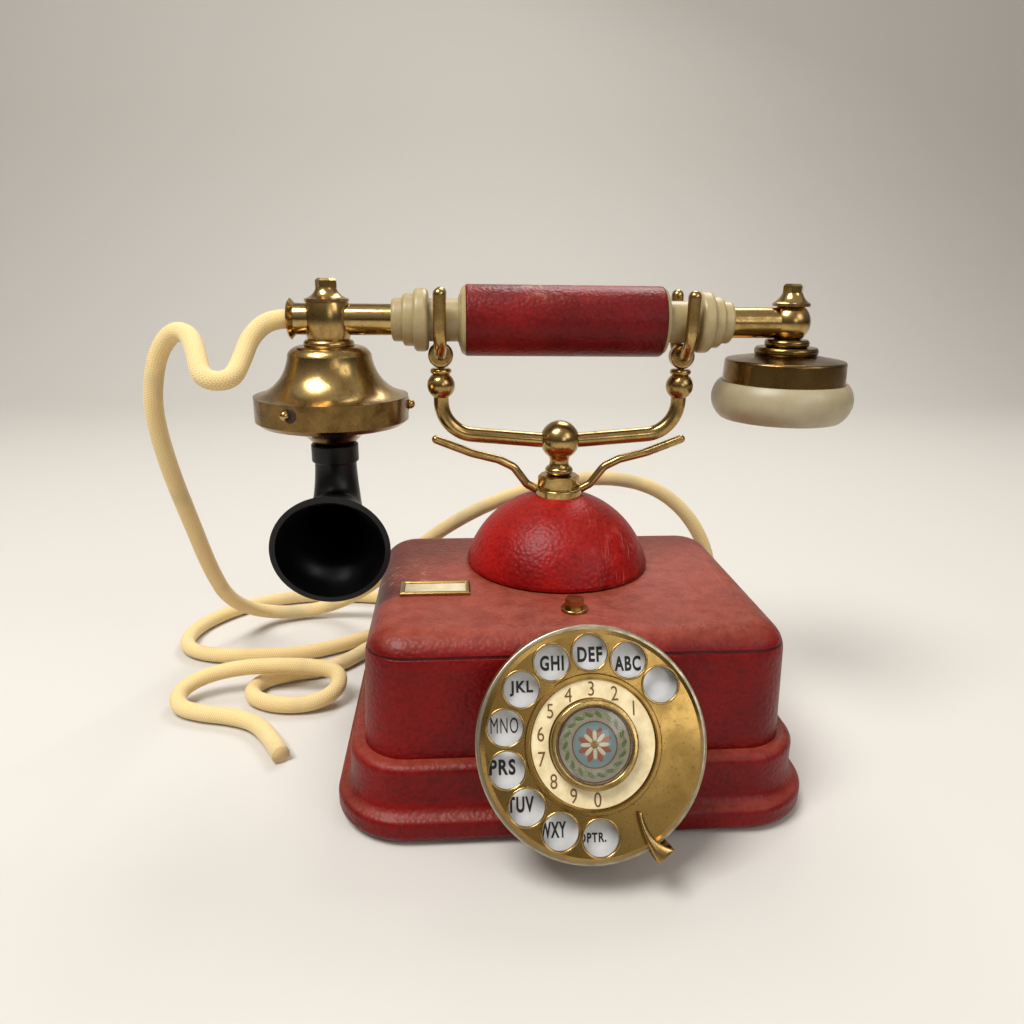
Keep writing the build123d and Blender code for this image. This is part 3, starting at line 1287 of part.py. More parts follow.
PIECES = {
    "casing": casing,
    "plinth": plinth,
    "base_plate": base_plate,
    "base_screws": base_screws,
    "felt_pad": felt_pad,
    "bell_dome": bell_dome,
    "guide_tube": guide_tube,
    "guard_arms": guard_arms,
    "stem_nut": stem_nut,
    "card_frame": card_frame,
    "number_card": number_card,
    "cover_nut": cover_nut,
    "gongs": gongs,
    "ringer_frame": ringer_frame,
    "ringer_coils": ringer_coils,
    "switch_bracket": switch_bracket,
    "contact_springs": contact_springs,
    "network_box": network_box,
    "terminal_block": terminal_block,
    "cord_grommets": cord_grommets,
    "dial_cup": lambda: on_dial(dial_cup()),
    "dial_rim": lambda: on_dial(dial_rim()),
    "letter_plate": lambda: on_dial(letter_plate()),
    "finger_stop": lambda: on_dial(finger_stop()),
    "dial_frame": lambda: on_dial(dial_frame()),
    "pulse_contacts": lambda: on_dial(pulse_contacts()),
    "finger_wheel": lambda: on_dial(finger_wheel()),
    "number_ring": lambda: on_dial(number_ring()),
    "medallion_bezel": lambda: on_dial(medallion_bezel()),
    "medallion_disc": lambda: on_dial(medallion_disc()),
    "medallion_glass": lambda: on_dial(medallion_glass()),
    "dial_shaft": lambda: on_dial(dial_shaft()),
    "main_gear": lambda: on_dial(main_gear()),
    "governor": lambda: on_dial(governor()),
    "clapper": clapper,
    "hook_lever": hook_lever,
    "cradle_stem": cradle_stem,
    "fork_bar": fork_bar,
    "fork_eyes": lambda: Compound(children=[fork_eye(-1), fork_eye(1)]),
    "prong_left": lambda: prong(-1),
    "prong_right": lambda: prong(1),
    "handset_tube": handset_tube,
    "cord_ferrule": cord_ferrule,
    "grip_sleeve": grip_sleeve,
    "collar_left": lambda: collar(-1),
    "collar_right": lambda: collar(1),
    "knuckle_left": lambda: knuckle(-1),
    "knuckle_right": lambda: knuckle(1),
    "finial_left": lambda: finial(-1),
    "finial_right": lambda: finial(1),
    "transmitter_bell": transmitter_bell,
    "transmitter_band": transmitter_band,
    "transmitter_capsule": transmitter_capsule,
    "horn": horn,
    "receiver_cup": receiver_cup,
    "receiver_cap": receiver_cap,
    "receiver_capsule": receiver_capsule,
    "handset_cord": lambda: cord(HANDSET_CORD_ROUTE, "handset_cord"),
    "line_cord": lambda: cord(LINE_CORD_ROUTE, "line_cord"),
}

os.makedirs("parts", exist_ok=True)
for name, make in PIECES.items():
    export_step(make(), f"parts/{name}.step")
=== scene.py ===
"""Rotary telephone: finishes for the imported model, with the cords, figures and trim that only the eye needs.

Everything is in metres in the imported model's frame: +Z up, the dial faces -Y, the origin under the stem.
"""
import logging
import math
from dataclasses import dataclass, field
from enum import Enum
from typing import Any, Iterable, Optional, Sequence

import bmesh
import bpy
from mathutils import Matrix, Vector
from mathutils.geometry import interpolate_bezier


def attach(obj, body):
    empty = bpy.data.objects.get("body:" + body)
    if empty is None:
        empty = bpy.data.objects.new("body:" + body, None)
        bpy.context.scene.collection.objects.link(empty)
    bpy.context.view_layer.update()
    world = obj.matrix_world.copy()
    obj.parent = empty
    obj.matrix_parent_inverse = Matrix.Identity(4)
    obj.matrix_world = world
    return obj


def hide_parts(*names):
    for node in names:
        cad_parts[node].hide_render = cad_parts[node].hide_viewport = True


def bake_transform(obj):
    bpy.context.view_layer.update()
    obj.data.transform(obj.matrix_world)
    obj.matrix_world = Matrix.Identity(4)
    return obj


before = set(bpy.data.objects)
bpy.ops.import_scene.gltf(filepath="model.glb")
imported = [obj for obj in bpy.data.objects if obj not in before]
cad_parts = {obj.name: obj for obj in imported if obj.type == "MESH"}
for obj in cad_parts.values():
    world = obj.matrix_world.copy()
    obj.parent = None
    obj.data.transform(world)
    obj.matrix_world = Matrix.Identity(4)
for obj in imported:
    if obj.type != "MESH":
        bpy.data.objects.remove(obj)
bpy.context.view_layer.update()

LOG = logging.getLogger("telephone")
MM = 0.001
HANDSET_Z_MM = 188.97
Point = tuple[float, float, float]


# Small helpers

def linear(code: str, alpha: float = 1.0) -> tuple[float, float, float, float]:
    """Turn an sRGB hex colour into linear RGBA.

    Args:
        code: Colour such as "#a08040".
        alpha: Opacity.

    Returns:
        Linear red, green, blue and alpha.
    """
    channels = [int(code[i:i + 2], 16) / 255 for i in (1, 3, 5)]
    red, green, blue = (c / 12.92 if c <= 0.04045 else ((c + 0.055) / 1.055) ** 2.4 for c in channels)
    return red, green, blue, alpha


def per_mm(size_mm: float) -> float:
    """Texture scale that repeats once every size_mm in metre coordinates."""
    return 1.0 / (size_mm * MM)


NOISE = "ShaderNodeTexNoise"
RANGE = "ShaderNodeMapRange"
MIX = "ShaderNodeMix"
MATH = "ShaderNodeMath"
VECTOR = "ShaderNodeVectorMath"


def add(tree: bpy.types.NodeTree, kind: str, inputs: Optional[dict[Any, Any]] = None, out: Any = 0,
        **settings: Any) -> bpy.types.NodeSocket:
    """Add a node, set its properties, and fill or link its inputs.

    Args:
        tree: Node tree that gets the node.
        kind: Node type, such as "ShaderNodeTexNoise".
        inputs: Input name or index to a value, or to the output socket that feeds it.
        out: Name or index of the output wanted.
        **settings: Properties of the node itself.

    Returns:
        The wanted output socket, or the node's first input where it has no outputs.
    """
    node = tree.nodes.new(kind)
    for name, value in settings.items():
        setattr(node, name, value)
    for name, value in (inputs or {}).items():
        if isinstance(value, bpy.types.NodeSocket):
            tree.links.new(value, node.inputs[name])
        else:
            node.inputs[name].default_value = value
    return node.outputs[out] if len(node.outputs) else node.inputs[0]


MaterialParts = tuple[bpy.types.Material, bpy.types.NodeTree, bpy.types.Node, bpy.types.NodeSocket]


def new_material(name: str) -> MaterialParts:
    """Start a node material.

    Args:
        name: Name of the real material.

    Returns:
        The material, its tree, its main shader and its Object coordinates in metres.
    """
    material = bpy.data.materials.new(name)
    material.use_nodes = True
    tree = material.node_tree
    tree.nodes.clear()
    shader = add(tree, "ShaderNodeBsdfPrincipled")
    add(tree, "ShaderNodeOutputMaterial", {"Surface": shader})
    return material, tree, shader.node, add(tree, "ShaderNodeTexCoord", out="Object")


def feed(tree: bpy.types.NodeTree, shader: bpy.types.Node, **sockets: Any) -> None:
    """Link or set the shader's inputs; an underscore in a name stands for a space.

    Args:
        tree: Node tree to work in.
        shader: Shader whose inputs are filled.
        **sockets: Input name to a value or to an output socket.
    """
    for name, value in sockets.items():
        socket = shader.inputs[name.replace("_", " ")]
        if isinstance(value, bpy.types.NodeSocket):
            tree.links.new(value, socket)
        else:
            socket.default_value = value


def corners(mesh: bpy.types.Mesh) -> tuple[Vector, Vector]:
    """Lowest and highest corner of a mesh."""
    places = [v.co for v in mesh.vertices]
    low = Vector([min(p[axis] for p in places) for axis in range(3)])
    high = Vector([max(p[axis] for p in places) for axis in range(3)])
    return low, high


def node_box(node: str) -> tuple[Vector, Vector]:
    """Lowest and highest corner of a CAD node, in metres."""
    return corners(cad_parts[node].data)


def linked(name: str, data: bpy.types.ID) -> bpy.types.Object:
    """Make an object of the data at the origin and link it to the scene."""
    piece = bpy.data.objects.new(name, data)
    bpy.context.collection.objects.link(piece)
    return piece


def plain_mesh(holder: bpy.types.Object) -> bpy.types.Mesh:
    """Turn an object with its modifiers into a plain mesh, and remove the object."""
    mesh = bpy.data.meshes.new_from_object(holder.evaluated_get(bpy.context.evaluated_depsgraph_get()))
    bpy.data.objects.remove(holder)
    return mesh


def mesh_object(name: str, points: Iterable[Sequence[float]], faces: Iterable[Sequence[int]],
                material: bpy.types.Material) -> bpy.types.Object:
    """Make a smooth-shaded mesh object at the origin.

    Args:
        name: Object name.
        points: Vertex places in metres.
        faces: Vertex indices of each face.
        material: Finish of the whole piece.

    Returns:
        The linked object.
    """
    mesh = bpy.data.meshes.new(name)
    mesh.from_pydata([tuple(p) for p in points], [], [tuple(f) for f in faces])
    mesh.shade_smooth()
    mesh.materials.append(material)
    return linked(name, mesh)


def dress(node: str, material: bpy.types.Material) -> None:
    """Give a CAD node its finish."""
    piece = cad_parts[node]
    piece.data.materials.clear()
    piece.data.materials.append(material)


def keep(piece: bpy.types.Object, body: str) -> None:
    """Let a piece ride on a body."""
    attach(piece, body)
    LOG.info("piece %s on %s", piece.name, body)


# Finishes: a noise lies mostly between 0.3 and 0.7, and inputs 1 and 2 of a range pick the part that shows

@dataclass(frozen=True)
class PebbledLeather:
    """Dyed cowhide over a former: pebbled grain, semi-gloss, dusty ledges whose paler film is partly painted
    top light, pale rubs and fine scratches.
    """

    name: str
    deep: str = "#640404"
    bright: str = "#7d0806"
    crease: str = "#340203"
    # Paler film on faces that look up: real dust, and painted light on the top
    dust_and_top_light: str = "#ad634e"
    dust_and_top_light_share: float = 0.2
    rub: str = "#c79a80"
    rub_share: float = 0.0
    scratch_share: float = 0.0
    worn_at_mm: Point = (0.0, 0.0, 0.0)
    worn_reach_mm: float = 40.0
    seam_z_mm: float = -1.0
    seam_half_mm: float = 0.35
    seam_share: float = 0.85
    grain_mm: float = 1.5
    pit_share: float = 0.5
    pebble_mm: float = 0.3
    pebble_strength: float = 0.7
    blotch_mm: float = 24.0
    wear_mm: float = 6.0
    scratch_mm: float = 0.7
    scratch_run_mm: float = 14.0
    scratch_turn: Point = (0.3, 0.5, 0.4)
    gloss_low: float = 0.34
    gloss_high: float = 0.46
    shine: float = 0.2

    def build(self) -> bpy.types.Material:
        """Build the material: the hide's grain and blotches, then dust with painted top light, rubs, scratches
        and the seam.
        """
        material, tree, shader, coords = new_material(self.name)
        grain = add(tree, "ShaderNodeTexVoronoi", {"Vector": coords, "Scale": per_mm(self.grain_mm)},
                    feature="SMOOTH_F1")
        blotch = add(tree, NOISE, {"Vector": coords, "Scale": per_mm(self.blotch_mm), "Detail": 6.0})
        wear = add(tree, NOISE, {"Vector": coords, "Scale": per_mm(self.wear_mm), "Detail": 8.0,
                                 "Roughness": 0.72})
        hide = add(tree, RANGE, {0: blotch, 1: 0.33, 2: 0.67})
        colour = add(tree, MIX, {0: hide, 6: linear(self.deep), 7: linear(self.bright)}, 2, data_type="RGBA")
        pit = add(tree, RANGE, {0: grain, 1: 0.3, 2: 0.85, 3: 0.0, 4: self.pit_share})
        colour = add(tree, MIX, {0: pit, 6: colour, 7: linear(self.crease)}, 2, data_type="RGBA")
        normal = add(tree, "ShaderNodeNewGeometry", out="Normal")
        facing = add(tree, "ShaderNodeSeparateXYZ", {0: normal}, "Z")
        # Dust and painted top light: faces that look up take the paler film, patchily
        ledge = add(tree, RANGE, {0: facing, 1: 0.5, 2: 1.0, 3: 0.0, 4: self.dust_and_top_light_share})
        patchy = add(tree, RANGE, {0: wear, 1: 0.36, 2: 0.68, 3: 0.6, 4: 1.3})
        dust_and_top_light_film = add(tree, MATH, {0: ledge, 1: patchy}, operation="MULTIPLY")
        colour = add(tree, MIX, {0: dust_and_top_light_film, 6: colour, 7: linear(self.dust_and_top_light)}, 2, data_type="RGBA")
        worn_at = tuple(c * MM for c in self.worn_at_mm)
        away = add(tree, VECTOR, {0: coords, 1: worn_at}, "Value", operation="DISTANCE")
        reach = self.worn_reach_mm * MM
        worn = add(tree, RANGE, {0: away, 1: reach, 2: reach / 4})
        rubs = add(tree, RANGE, {0: wear, 1: 0.54, 2: 0.64, 3: 0.0, 4: self.rub_share})
        streak_scale = (per_mm(self.scratch_mm), per_mm(self.scratch_run_mm), per_mm(self.scratch_run_mm))
        turned = add(tree, "ShaderNodeMapping", {"Vector": coords, "Rotation": self.scratch_turn,
                                                 "Scale": streak_scale})
        streak = add(tree, NOISE, {"Vector": turned, "Scale": 1.0, "Detail": 3.0})
        scratches = add(tree, RANGE, {0: streak, 1: 0.62, 2: 0.7, 3: 0.0, 4: self.scratch_share})
        marks = add(tree, MATH, {0: rubs, 1: scratches}, operation="MAXIMUM")
        marks = add(tree, MATH, {0: marks, 1: worn}, operation="MULTIPLY")
        colour = add(tree, MIX, {0: marks, 6: colour, 7: linear(self.rub)}, 2, data_type="RGBA")
        height = add(tree, "ShaderNodeSeparateXYZ", {0: coords}, "Z")
        off_seam = add(tree, MATH, {0: height, 1: self.seam_z_mm * MM}, operation="SUBTRACT")
        off_seam = add(tree, MATH, {0: off_seam}, operation="ABSOLUTE")
        half = self.seam_half_mm * MM
        seam = add(tree, RANGE, {0: off_seam, 1: 2 * half, 2: half, 4: self.seam_share})
        colour = add(tree, MIX, {0: seam, 6: colour, 7: linear(self.crease)}, 2, data_type="RGBA")
        pebble = add(tree, RANGE, {0: grain, 1: 0.0, 2: 0.9, 3: 1.0, 4: 0.0})
        pebble = add(tree, MATH, {0: wear, 1: 0.5, 2: pebble}, operation="MULTIPLY_ADD")
        pebble = add(tree, MATH, {0: seam, 1: -2.0, 2: pebble}, operation="MULTIPLY_ADD")
        bump = add(tree, "ShaderNodeBump", {"Height": pebble, "Strength": self.pebble_strength,
                                            "Distance": self.pebble_mm * MM})
        gloss = add(tree, RANGE, {0: blotch, 1: 0.3, 2: 0.7, 3: self.gloss_low, 4: self.gloss_high})
        feed(tree, shader, Base_Color=colour, Roughness=gloss, IOR=1.5, Specular_IOR_Level=self.shine,
             Normal=bump)
        return material


@dataclass(frozen=True)
class AgedBrass:
    """Turned and lacquered brass: yellow metal, browned where the lacquer has gone, with dark specks."""

    name: str = "aged brass"
    clean: str = "#b79a62"
    tarnish: str = "#6b4a22"
    speck: str = "#33210d"
    patch_mm: float = 10.0
    speck_mm: float = 0.9
    polish: float = 0.15
    tarnish_share: float = 0.75
    speck_share: float = 0.5
    rough_gain: float = 0.2
    pit_mm: float = 0.05

    def build(self) -> bpy.types.Material:
        """Build the material."""
        material, tree, shader, coords = new_material(self.name)
        patch = add(tree, NOISE, {"Vector": coords, "Scale": per_mm(self.patch_mm), "Detail": 9.0,
                                  "Roughness": 0.65, "Distortion": 0.4})
        fleck = add(tree, NOISE, {"Vector": coords, "Scale": per_mm(self.speck_mm), "Detail": 3.0})
        browned = add(tree, RANGE, {0: patch, 1: 0.4, 2: 0.7, 3: 0.0, 4: self.tarnish_share})
        clean, tarnish = linear(self.clean), linear(self.tarnish)
        colour = add(tree, MIX, {0: browned, 6: clean, 7: tarnish}, 2, data_type="RGBA")
        flecks = add(tree, RANGE, {0: fleck, 1: 0.6, 2: 0.72, 3: 0.0, 4: self.speck_share})
        colour = add(tree, MIX, {0: flecks, 6: colour, 7: linear(self.speck)}, 2, data_type="RGBA")
        dull = self.polish + self.rough_gain
        rough = add(tree, RANGE, {0: patch, 1: 0.35, 2: 0.75, 3: self.polish, 4: dull})
        bump = add(tree, "ShaderNodeBump", {"Height": fleck, "Strength": 0.08, "Distance": self.pit_mm * MM})
        feed(tree, shader, Base_Color=colour, Metallic=1.0, Roughness=rough, Normal=bump)
        return material


@dataclass(frozen=True)
class GrooveDarkening:
    """Colour that darkens towards the bottom of turned grooves, between two radii about an axis."""

    colour: str
    axis_mm: Point
    across: Point
    deep_mm: float
    plain_mm: float


@dataclass(frozen=True)
class MouldedPlastic:
    """Compression-moulded plastic or stoved enamel: glossy, with faint clouding and handling marks."""

    name: str
    colour: str
    cloud: str
    gloss: float = 0.25
    cloud_mm: float = 12.0
    cloud_share: float = 0.5
    groove_darkening: Optional[GrooveDarkening] = None
    shine: float = 0.5
    mark_mm: float = 0.9
    mark_deep_mm: float = 0.05
    rough_gain: float = 0.15

    def build(self) -> bpy.types.Material:
        """Build the material."""
        material, tree, shader, coords = new_material(self.name)
        cloud = add(tree, NOISE, {"Vector": coords, "Scale": per_mm(self.cloud_mm), "Detail": 7.0,
                                  "Roughness": 0.6})
        fine = add(tree, NOISE, {"Vector": coords, "Scale": per_mm(self.mark_mm), "Detail": 4.0})
        share = add(tree, RANGE, {0: cloud, 1: 0.4, 2: 0.75, 3: 0.0, 4: self.cloud_share})
        clear, clouded = linear(self.colour), linear(self.cloud)
        colour = add(tree, MIX, {0: share, 6: clear, 7: clouded}, 2, data_type="RGBA")
        if self.groove_darkening:
            axis = tuple(c * MM for c in self.groove_darkening.axis_mm)
            arm = add(tree, VECTOR, {0: coords, 1: axis}, operation="SUBTRACT")
            arm = add(tree, VECTOR, {0: arm, 1: self.groove_darkening.across}, operation="MULTIPLY")
            radius = add(tree, VECTOR, {0: arm}, "Value", operation="LENGTH")
            # Darker towards the axis, from the plain radius in to the deep one, unevenly
            depth = add(tree, RANGE, {0: radius, 1: self.groove_darkening.plain_mm * MM, 2: self.groove_darkening.deep_mm * MM})
            uneven = add(tree, RANGE, {0: fine, 1: 0.3, 2: 0.6, 3: 0.4, 4: 0.9})
            darkening = add(tree, MATH, {0: depth, 1: uneven}, operation="MULTIPLY")
            colour = add(tree, MIX, {0: darkening, 6: colour, 7: linear(self.groove_darkening.colour)}, 2, data_type="RGBA")
        dull = self.gloss + self.rough_gain
        rough = add(tree, RANGE, {0: cloud, 1: 0.3, 2: 0.7, 3: self.gloss, 4: dull})
        bump = add(tree, "ShaderNodeBump", {"Height": fine, "Strength": 0.05,
                                            "Distance": self.mark_deep_mm * MM})
        feed(tree, shader, Base_Color=colour, Roughness=rough, Specular_IOR_Level=self.shine, Normal=bump)
        return material


@dataclass(frozen=True)
class PlatedMetal:
    """Plated or bare steel: neutral metal with fine rubbing marks."""

    name: str
    colour: str
    rough: float
    worn: str = "#6d665c"
    rub_mm: float = 3.0
    worn_share: float = 0.5
    rough_gain: float = 0.2

    def build(self) -> bpy.types.Material:
        """Build the material."""
        material, tree, shader, coords = new_material(self.name)
        rub = add(tree, NOISE, {"Vector": coords, "Scale": per_mm(self.rub_mm), "Detail": 8.0})
        share = add(tree, RANGE, {0: rub, 1: 0.4, 2: 0.7, 3: 0.0, 4: self.worn_share})
        bright, worn = linear(self.colour), linear(self.worn)
        colour = add(tree, MIX, {0: share, 6: bright, 7: worn}, 2, data_type="RGBA")
        rough = add(tree, RANGE, {0: rub, 1: 0.3, 2: 0.7, 3: self.rough, 4: self.rough + self.rough_gain})
        feed(tree, shader, Base_Color=colour, Metallic=1.0, Roughness=rough)
        return material


@dataclass(frozen=True)
class PrintedInk:
    """Screen-printed or transfer ink, or a flat painted shade: one flat colour, half matt."""

    name: str
    colour: str
    rough: float = 0.5

    def build(self) -> bpy.types.Material:
        """Build the material."""
        material, tree, shader, _ = new_material(self.name)
        feed(tree, shader, Base_Color=linear(self.colour), Roughness=self.rough)
        return material


@dataclass(frozen=True)
class BraidedCotton:
    """Cotton braid over a cord: two sets of yarns crossing in a herringbone, matt and a little soiled."""

    name: str = "braided cotton"
    yarn: str = "#f3d89a"
    shade: str = "#b48d4c"
    soil: str = "#a59a82"
    around: int = 22
    pitch_mm: float = 1.15
    yarn_mm: float = 0.3
    soil_mm: float = 34.0
    soil_share: float = 0.6

    def build(self) -> bpy.types.Material:
        """Build the material; UV runs once round the cord in U and in metres along it in V."""
        material, tree, shader, coords = new_material(self.name)
        spread = add(tree, "ShaderNodeUVMap", uv_map="UVMap")
        uv = add(tree, "ShaderNodeSeparateXYZ", {0: spread}).node.outputs
        turns = add(tree, MATH, {0: uv["X"], 1: float(self.around)}, operation="MULTIPLY")
        steps = add(tree, MATH, {0: uv["Y"], 1: per_mm(self.pitch_mm)}, operation="MULTIPLY")
        zigzag = add(tree, MATH, {0: turns, 1: 1.0}, operation="PINGPONG")
        ply = add(tree, MATH, {0: steps, 1: zigzag}, operation="ADD")
        strand = add(tree, MATH, {0: ply, 1: 0.5}, operation="PINGPONG")
        rib = add(tree, RANGE, {0: strand, 1: 0.04, 2: 0.3})
        left = add(tree, RANGE, {0: zigzag, 1: 0.0, 2: 0.12})
        right = add(tree, RANGE, {0: zigzag, 1: 1.0, 2: 0.88})
        valley = add(tree, MATH, {0: left, 1: right}, operation="MULTIPLY")
        height = add(tree, MATH, {0: rib, 1: valley}, operation="MULTIPLY")
        # Painted shade: the low parts of the braid, between the yarns, take the darker shade colour
        tone = add(tree, RANGE, {0: height, 3: 0.45, 4: 1.0})
        shade, yarn = linear(self.shade), linear(self.yarn)
        colour = add(tree, MIX, {0: tone, 6: shade, 7: yarn}, 2, data_type="RGBA")
        stain = add(tree, NOISE, {"Vector": coords, "Scale": per_mm(self.soil_mm), "Detail": 6.0})
        soiled = add(tree, RANGE, {0: stain, 1: 0.54, 2: 0.75, 3: 0.0, 4: self.soil_share})
        colour = add(tree, MIX, {0: soiled, 6: colour, 7: linear(self.soil)}, 2, data_type="RGBA")
        bump = add(tree, "ShaderNodeBump", {"Height": height, "Strength": 0.35,
                                            "Distance": self.yarn_mm * MM})
        feed(tree, shader, Base_Color=colour, Roughness=0.85, Sheen_Weight=0.25, Normal=bump)
        return material


@dataclass(frozen=True)
class ClearGlass:
    """Moulded watch glass: clear and colourless, seen by its reflections."""

    name: str = "clear glass"
    rough: float = 0.02
    bend: float = 1.45

    def build(self) -> bpy.types.Material:
        """Build the material."""
        material, tree, shader, _ = new_material(self.name)
        feed(tree, shader, Transmission_Weight=1.0, Roughness=self.rough, IOR=self.bend)
        return material


# Studio

@dataclass(frozen=True)
class Lamp:
    """A soft square lamp, its place and what it points at, in metres."""

    name: str
    place: Point
    target: Point
    size: float
    watts: float

    def hang(self) -> None:
        """Add the lamp to the scene."""
        data = bpy.data.lights.new(self.name, "AREA")
        data.size = self.size
        data.energy = self.watts
        lamp = linked(self.name, data)
        lamp.location = self.place
        lamp.rotation_euler = (Vector(self.target) - Vector(self.place)).to_track_quat("-Z", "Y").to_euler()


@dataclass
class Studio:
    """Camera at the photograph's angle, a pale floor with a curved back, and soft lamps."""

    place_mm: Point = (-47.3, -337.9, 208.0)
    yaw: float = 4.42
    pitch: float = 17.18
    roll: float = 0.75
    lens_mm: float = 27.04
    sensor_mm: float = 36.0
    nearest: float = 0.01
    floor: str = "#cdc8c0"
    floor_front: float = -3.0
    floor_half_width: float = 4.0
    floor_back: float = 0.9
    curve_radius: float = 0.5
    curve_steps: int = 12
    wall_top: float = 3.5
    sky_low: str = "#55514d"
    sky_high: str = "#ece8e2"
    sky_from: float = 0.05
    sky_to: float = 0.85
    sky_strength: float = 0.6
    lamps: Sequence[Lamp] = (
        Lamp("key", (-0.6, -0.45, 1.45), (0.0, 0.0, 0.08), 0.7, 24.0),
        Lamp("fill", (0.9, -0.9, 0.9), (0.0, 0.0, 0.08), 0.6, 3.6),
        Lamp("front", (0.42, -1.3, 0.6), (0.0, -0.1, 0.06), 0.4, 1.4),
        Lamp("back", (0.3, 0.8, 1.2), (0.0, 0.0, 0.1), 0.6, 8.0),
    )

    def camera(self) -> None:
        """Place the camera; yaw turns it right, pitch down and roll clockwise."""
        yaw, pitch, roll = (math.radians(a) for a in (self.yaw, self.pitch, self.roll))
        level = Vector((math.sin(yaw), math.cos(yaw), 0.0))
        side = Vector((math.cos(yaw), -math.sin(yaw), 0.0))
        ahead = level * math.cos(pitch) - Vector((0, 0, math.sin(pitch)))
        above = Vector((0, 0, math.cos(pitch))) + level * math.sin(pitch)
        right = side * math.cos(roll) + above * math.sin(roll)
        up = above * math.cos(roll) - side * math.sin(roll)
        data = bpy.data.cameras.new("camera")
        data.lens = self.lens_mm
        data.sensor_width = self.sensor_mm
        data.clip_start = self.nearest
        camera = linked("camera", data)
        turn = Matrix((right, up, -ahead)).transposed().to_4x4()
        camera.matrix_world = Matrix.Translation(Vector(self.place_mm) * MM) @ turn
        bpy.context.scene.camera = camera

    def ground(self) -> None:
        """Lay the floor and its curved back."""
        material, tree, shader, _ = new_material("matt paper floor")
        feed(tree, shader, Base_Color=linear(self.floor), Roughness=0.8)
        profile = [(self.floor_front, 0.0), (self.floor_back, 0.0)]
        for step in range(1, self.curve_steps + 1):
            angle = math.radians(90 * step / self.curve_steps)
            back = self.floor_back + self.curve_radius * math.sin(angle)
            profile.append((back, self.curve_radius * (1 - math.cos(angle))))
        profile.append((profile[-1][0], self.wall_top))
        half = self.floor_half_width
        points = [(x, y, z) for y, z in profile for x in (-half, half)]
        faces = [(2 * i, 2 * i + 1, 2 * i + 3, 2 * i + 2) for i in range(len(profile) - 1)]
        mesh_object("floor", points, faces, material)

    def light(self) -> None:
        """Set the lamps and the world at a plain level."""
        scene = bpy.context.scene
        scene.view_settings.view_transform = "Standard"
        for lamp in self.lamps:
            lamp.hang()
        world = bpy.data.worlds.new("studio")
        world.use_nodes = True
        tree = world.node_tree
        outward = add(tree, "ShaderNodeTexCoord", out="Generated")
        rise = add(tree, "ShaderNodeSeparateXYZ", {0: outward}, "Z")
        share = add(tree, RANGE, {0: rise, 1: self.sky_from, 2: self.sky_to})
        low, high = linear(self.sky_low), linear(self.sky_high)
        sky = add(tree, MIX, {0: share, 6: low, 7: high}, 2, data_type="RGBA")
        feed(tree, tree.nodes["Background"], Color=sky, Strength=self.sky_strength)
        scene.world = world

    def build(self) -> None:
        """Build the studio."""
        self.camera()
        self.ground()
        self.light()


# Cords

class CordEnd(Enum):
    """What is at a cord's far end."""

    OBJECT = "object"
    BARE = "bare"


@dataclass
class Cord:
    """One braided cord along its route."""

    name: str
    node: str
    route_mm: Sequence[Point]
    end: CordEnd
    diameter_mm: float = 8.0
    sides: int = 20
    spline_order: int = 3
    spline_steps: int = 10
    steepest: float = 0.98

    def line(self) -> list[Vector]:
        """Read the smooth line of the route's NURBS spline."""
        data = bpy.data.curves.new(self.name + "_line", "CURVE")
        data.dimensions = "3D"
        spline = data.splines.new("NURBS")
        spline.points.add(len(self.route_mm) - 1)
        for point, place in zip(spline.points, self.route_mm):
            point.co = (*(c * MM for c in place), 1.0)
        spline.order_u = self.spline_order
        spline.use_endpoint_u = True
        spline.resolution_u = self.spline_steps
        mesh = plain_mesh(linked(self.name + "_line", data))
        points = [v.co.copy() for v in mesh.vertices]
        bpy.data.meshes.remove(mesh)
        return points

    def build(self, material: bpy.types.Material) -> bpy.types.Object:
        """Make the braided tube along the line.

        Args:
            material: Finish whose UV runs round and along the cord.

        Returns:
            The cord's object.
        """
        line = self.line()
        radius = self.diameter_mm * MM / 2
        normal = Vector((0, 0, 1))
        points: list[Vector] = []
        run = [0.0]
        for before, after in zip(line, line[1:]):
            run.append(run[-1] + (after - before).length)
        for index, place in enumerate(line):
            ahead = (line[min(index + 1, len(line) - 1)] - line[max(index - 1, 0)]).normalized()
            if abs(normal.dot(ahead)) > self.steepest:
                normal = ahead.orthogonal()
            normal = (normal - ahead * normal.dot(ahead)).normalized()
            across = ahead.cross(normal)
            for side in range(self.sides):
                angle = 2 * math.pi * side / self.sides
                points.append(place + radius * (math.cos(angle) * normal + math.sin(angle) * across))
        faces = []
        uvs = []
        for ring in range(len(line) - 1):
            for side in range(self.sides):
                nxt = (side + 1) % self.sides
                faces.append((ring * self.sides + side, ring * self.sides + nxt,
                              (ring + 1) * self.sides + nxt, (ring + 1) * self.sides + side))
                left, right = side / self.sides, (side + 1) / self.sides
                uvs += [(left, run[ring]), (right, run[ring]), (right, run[ring + 1]), (left, run[ring + 1])]
        last = (len(line) - 1) * self.sides
        faces.append(tuple(reversed(range(self.sides))))
        faces.append(tuple(range(last, last + self.sides)))
        uvs += [(0.0, 0.0)] * self.sides + [(0.0, run[-1])] * self.sides
        piece = mesh_object(self.name, points, faces, material)
        layer = piece.data.uv_layers.new(name="UVMap")
        for loop, uv in zip(layer.data, uvs):
            loop.uv = uv
        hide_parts(self.node)
        return piece


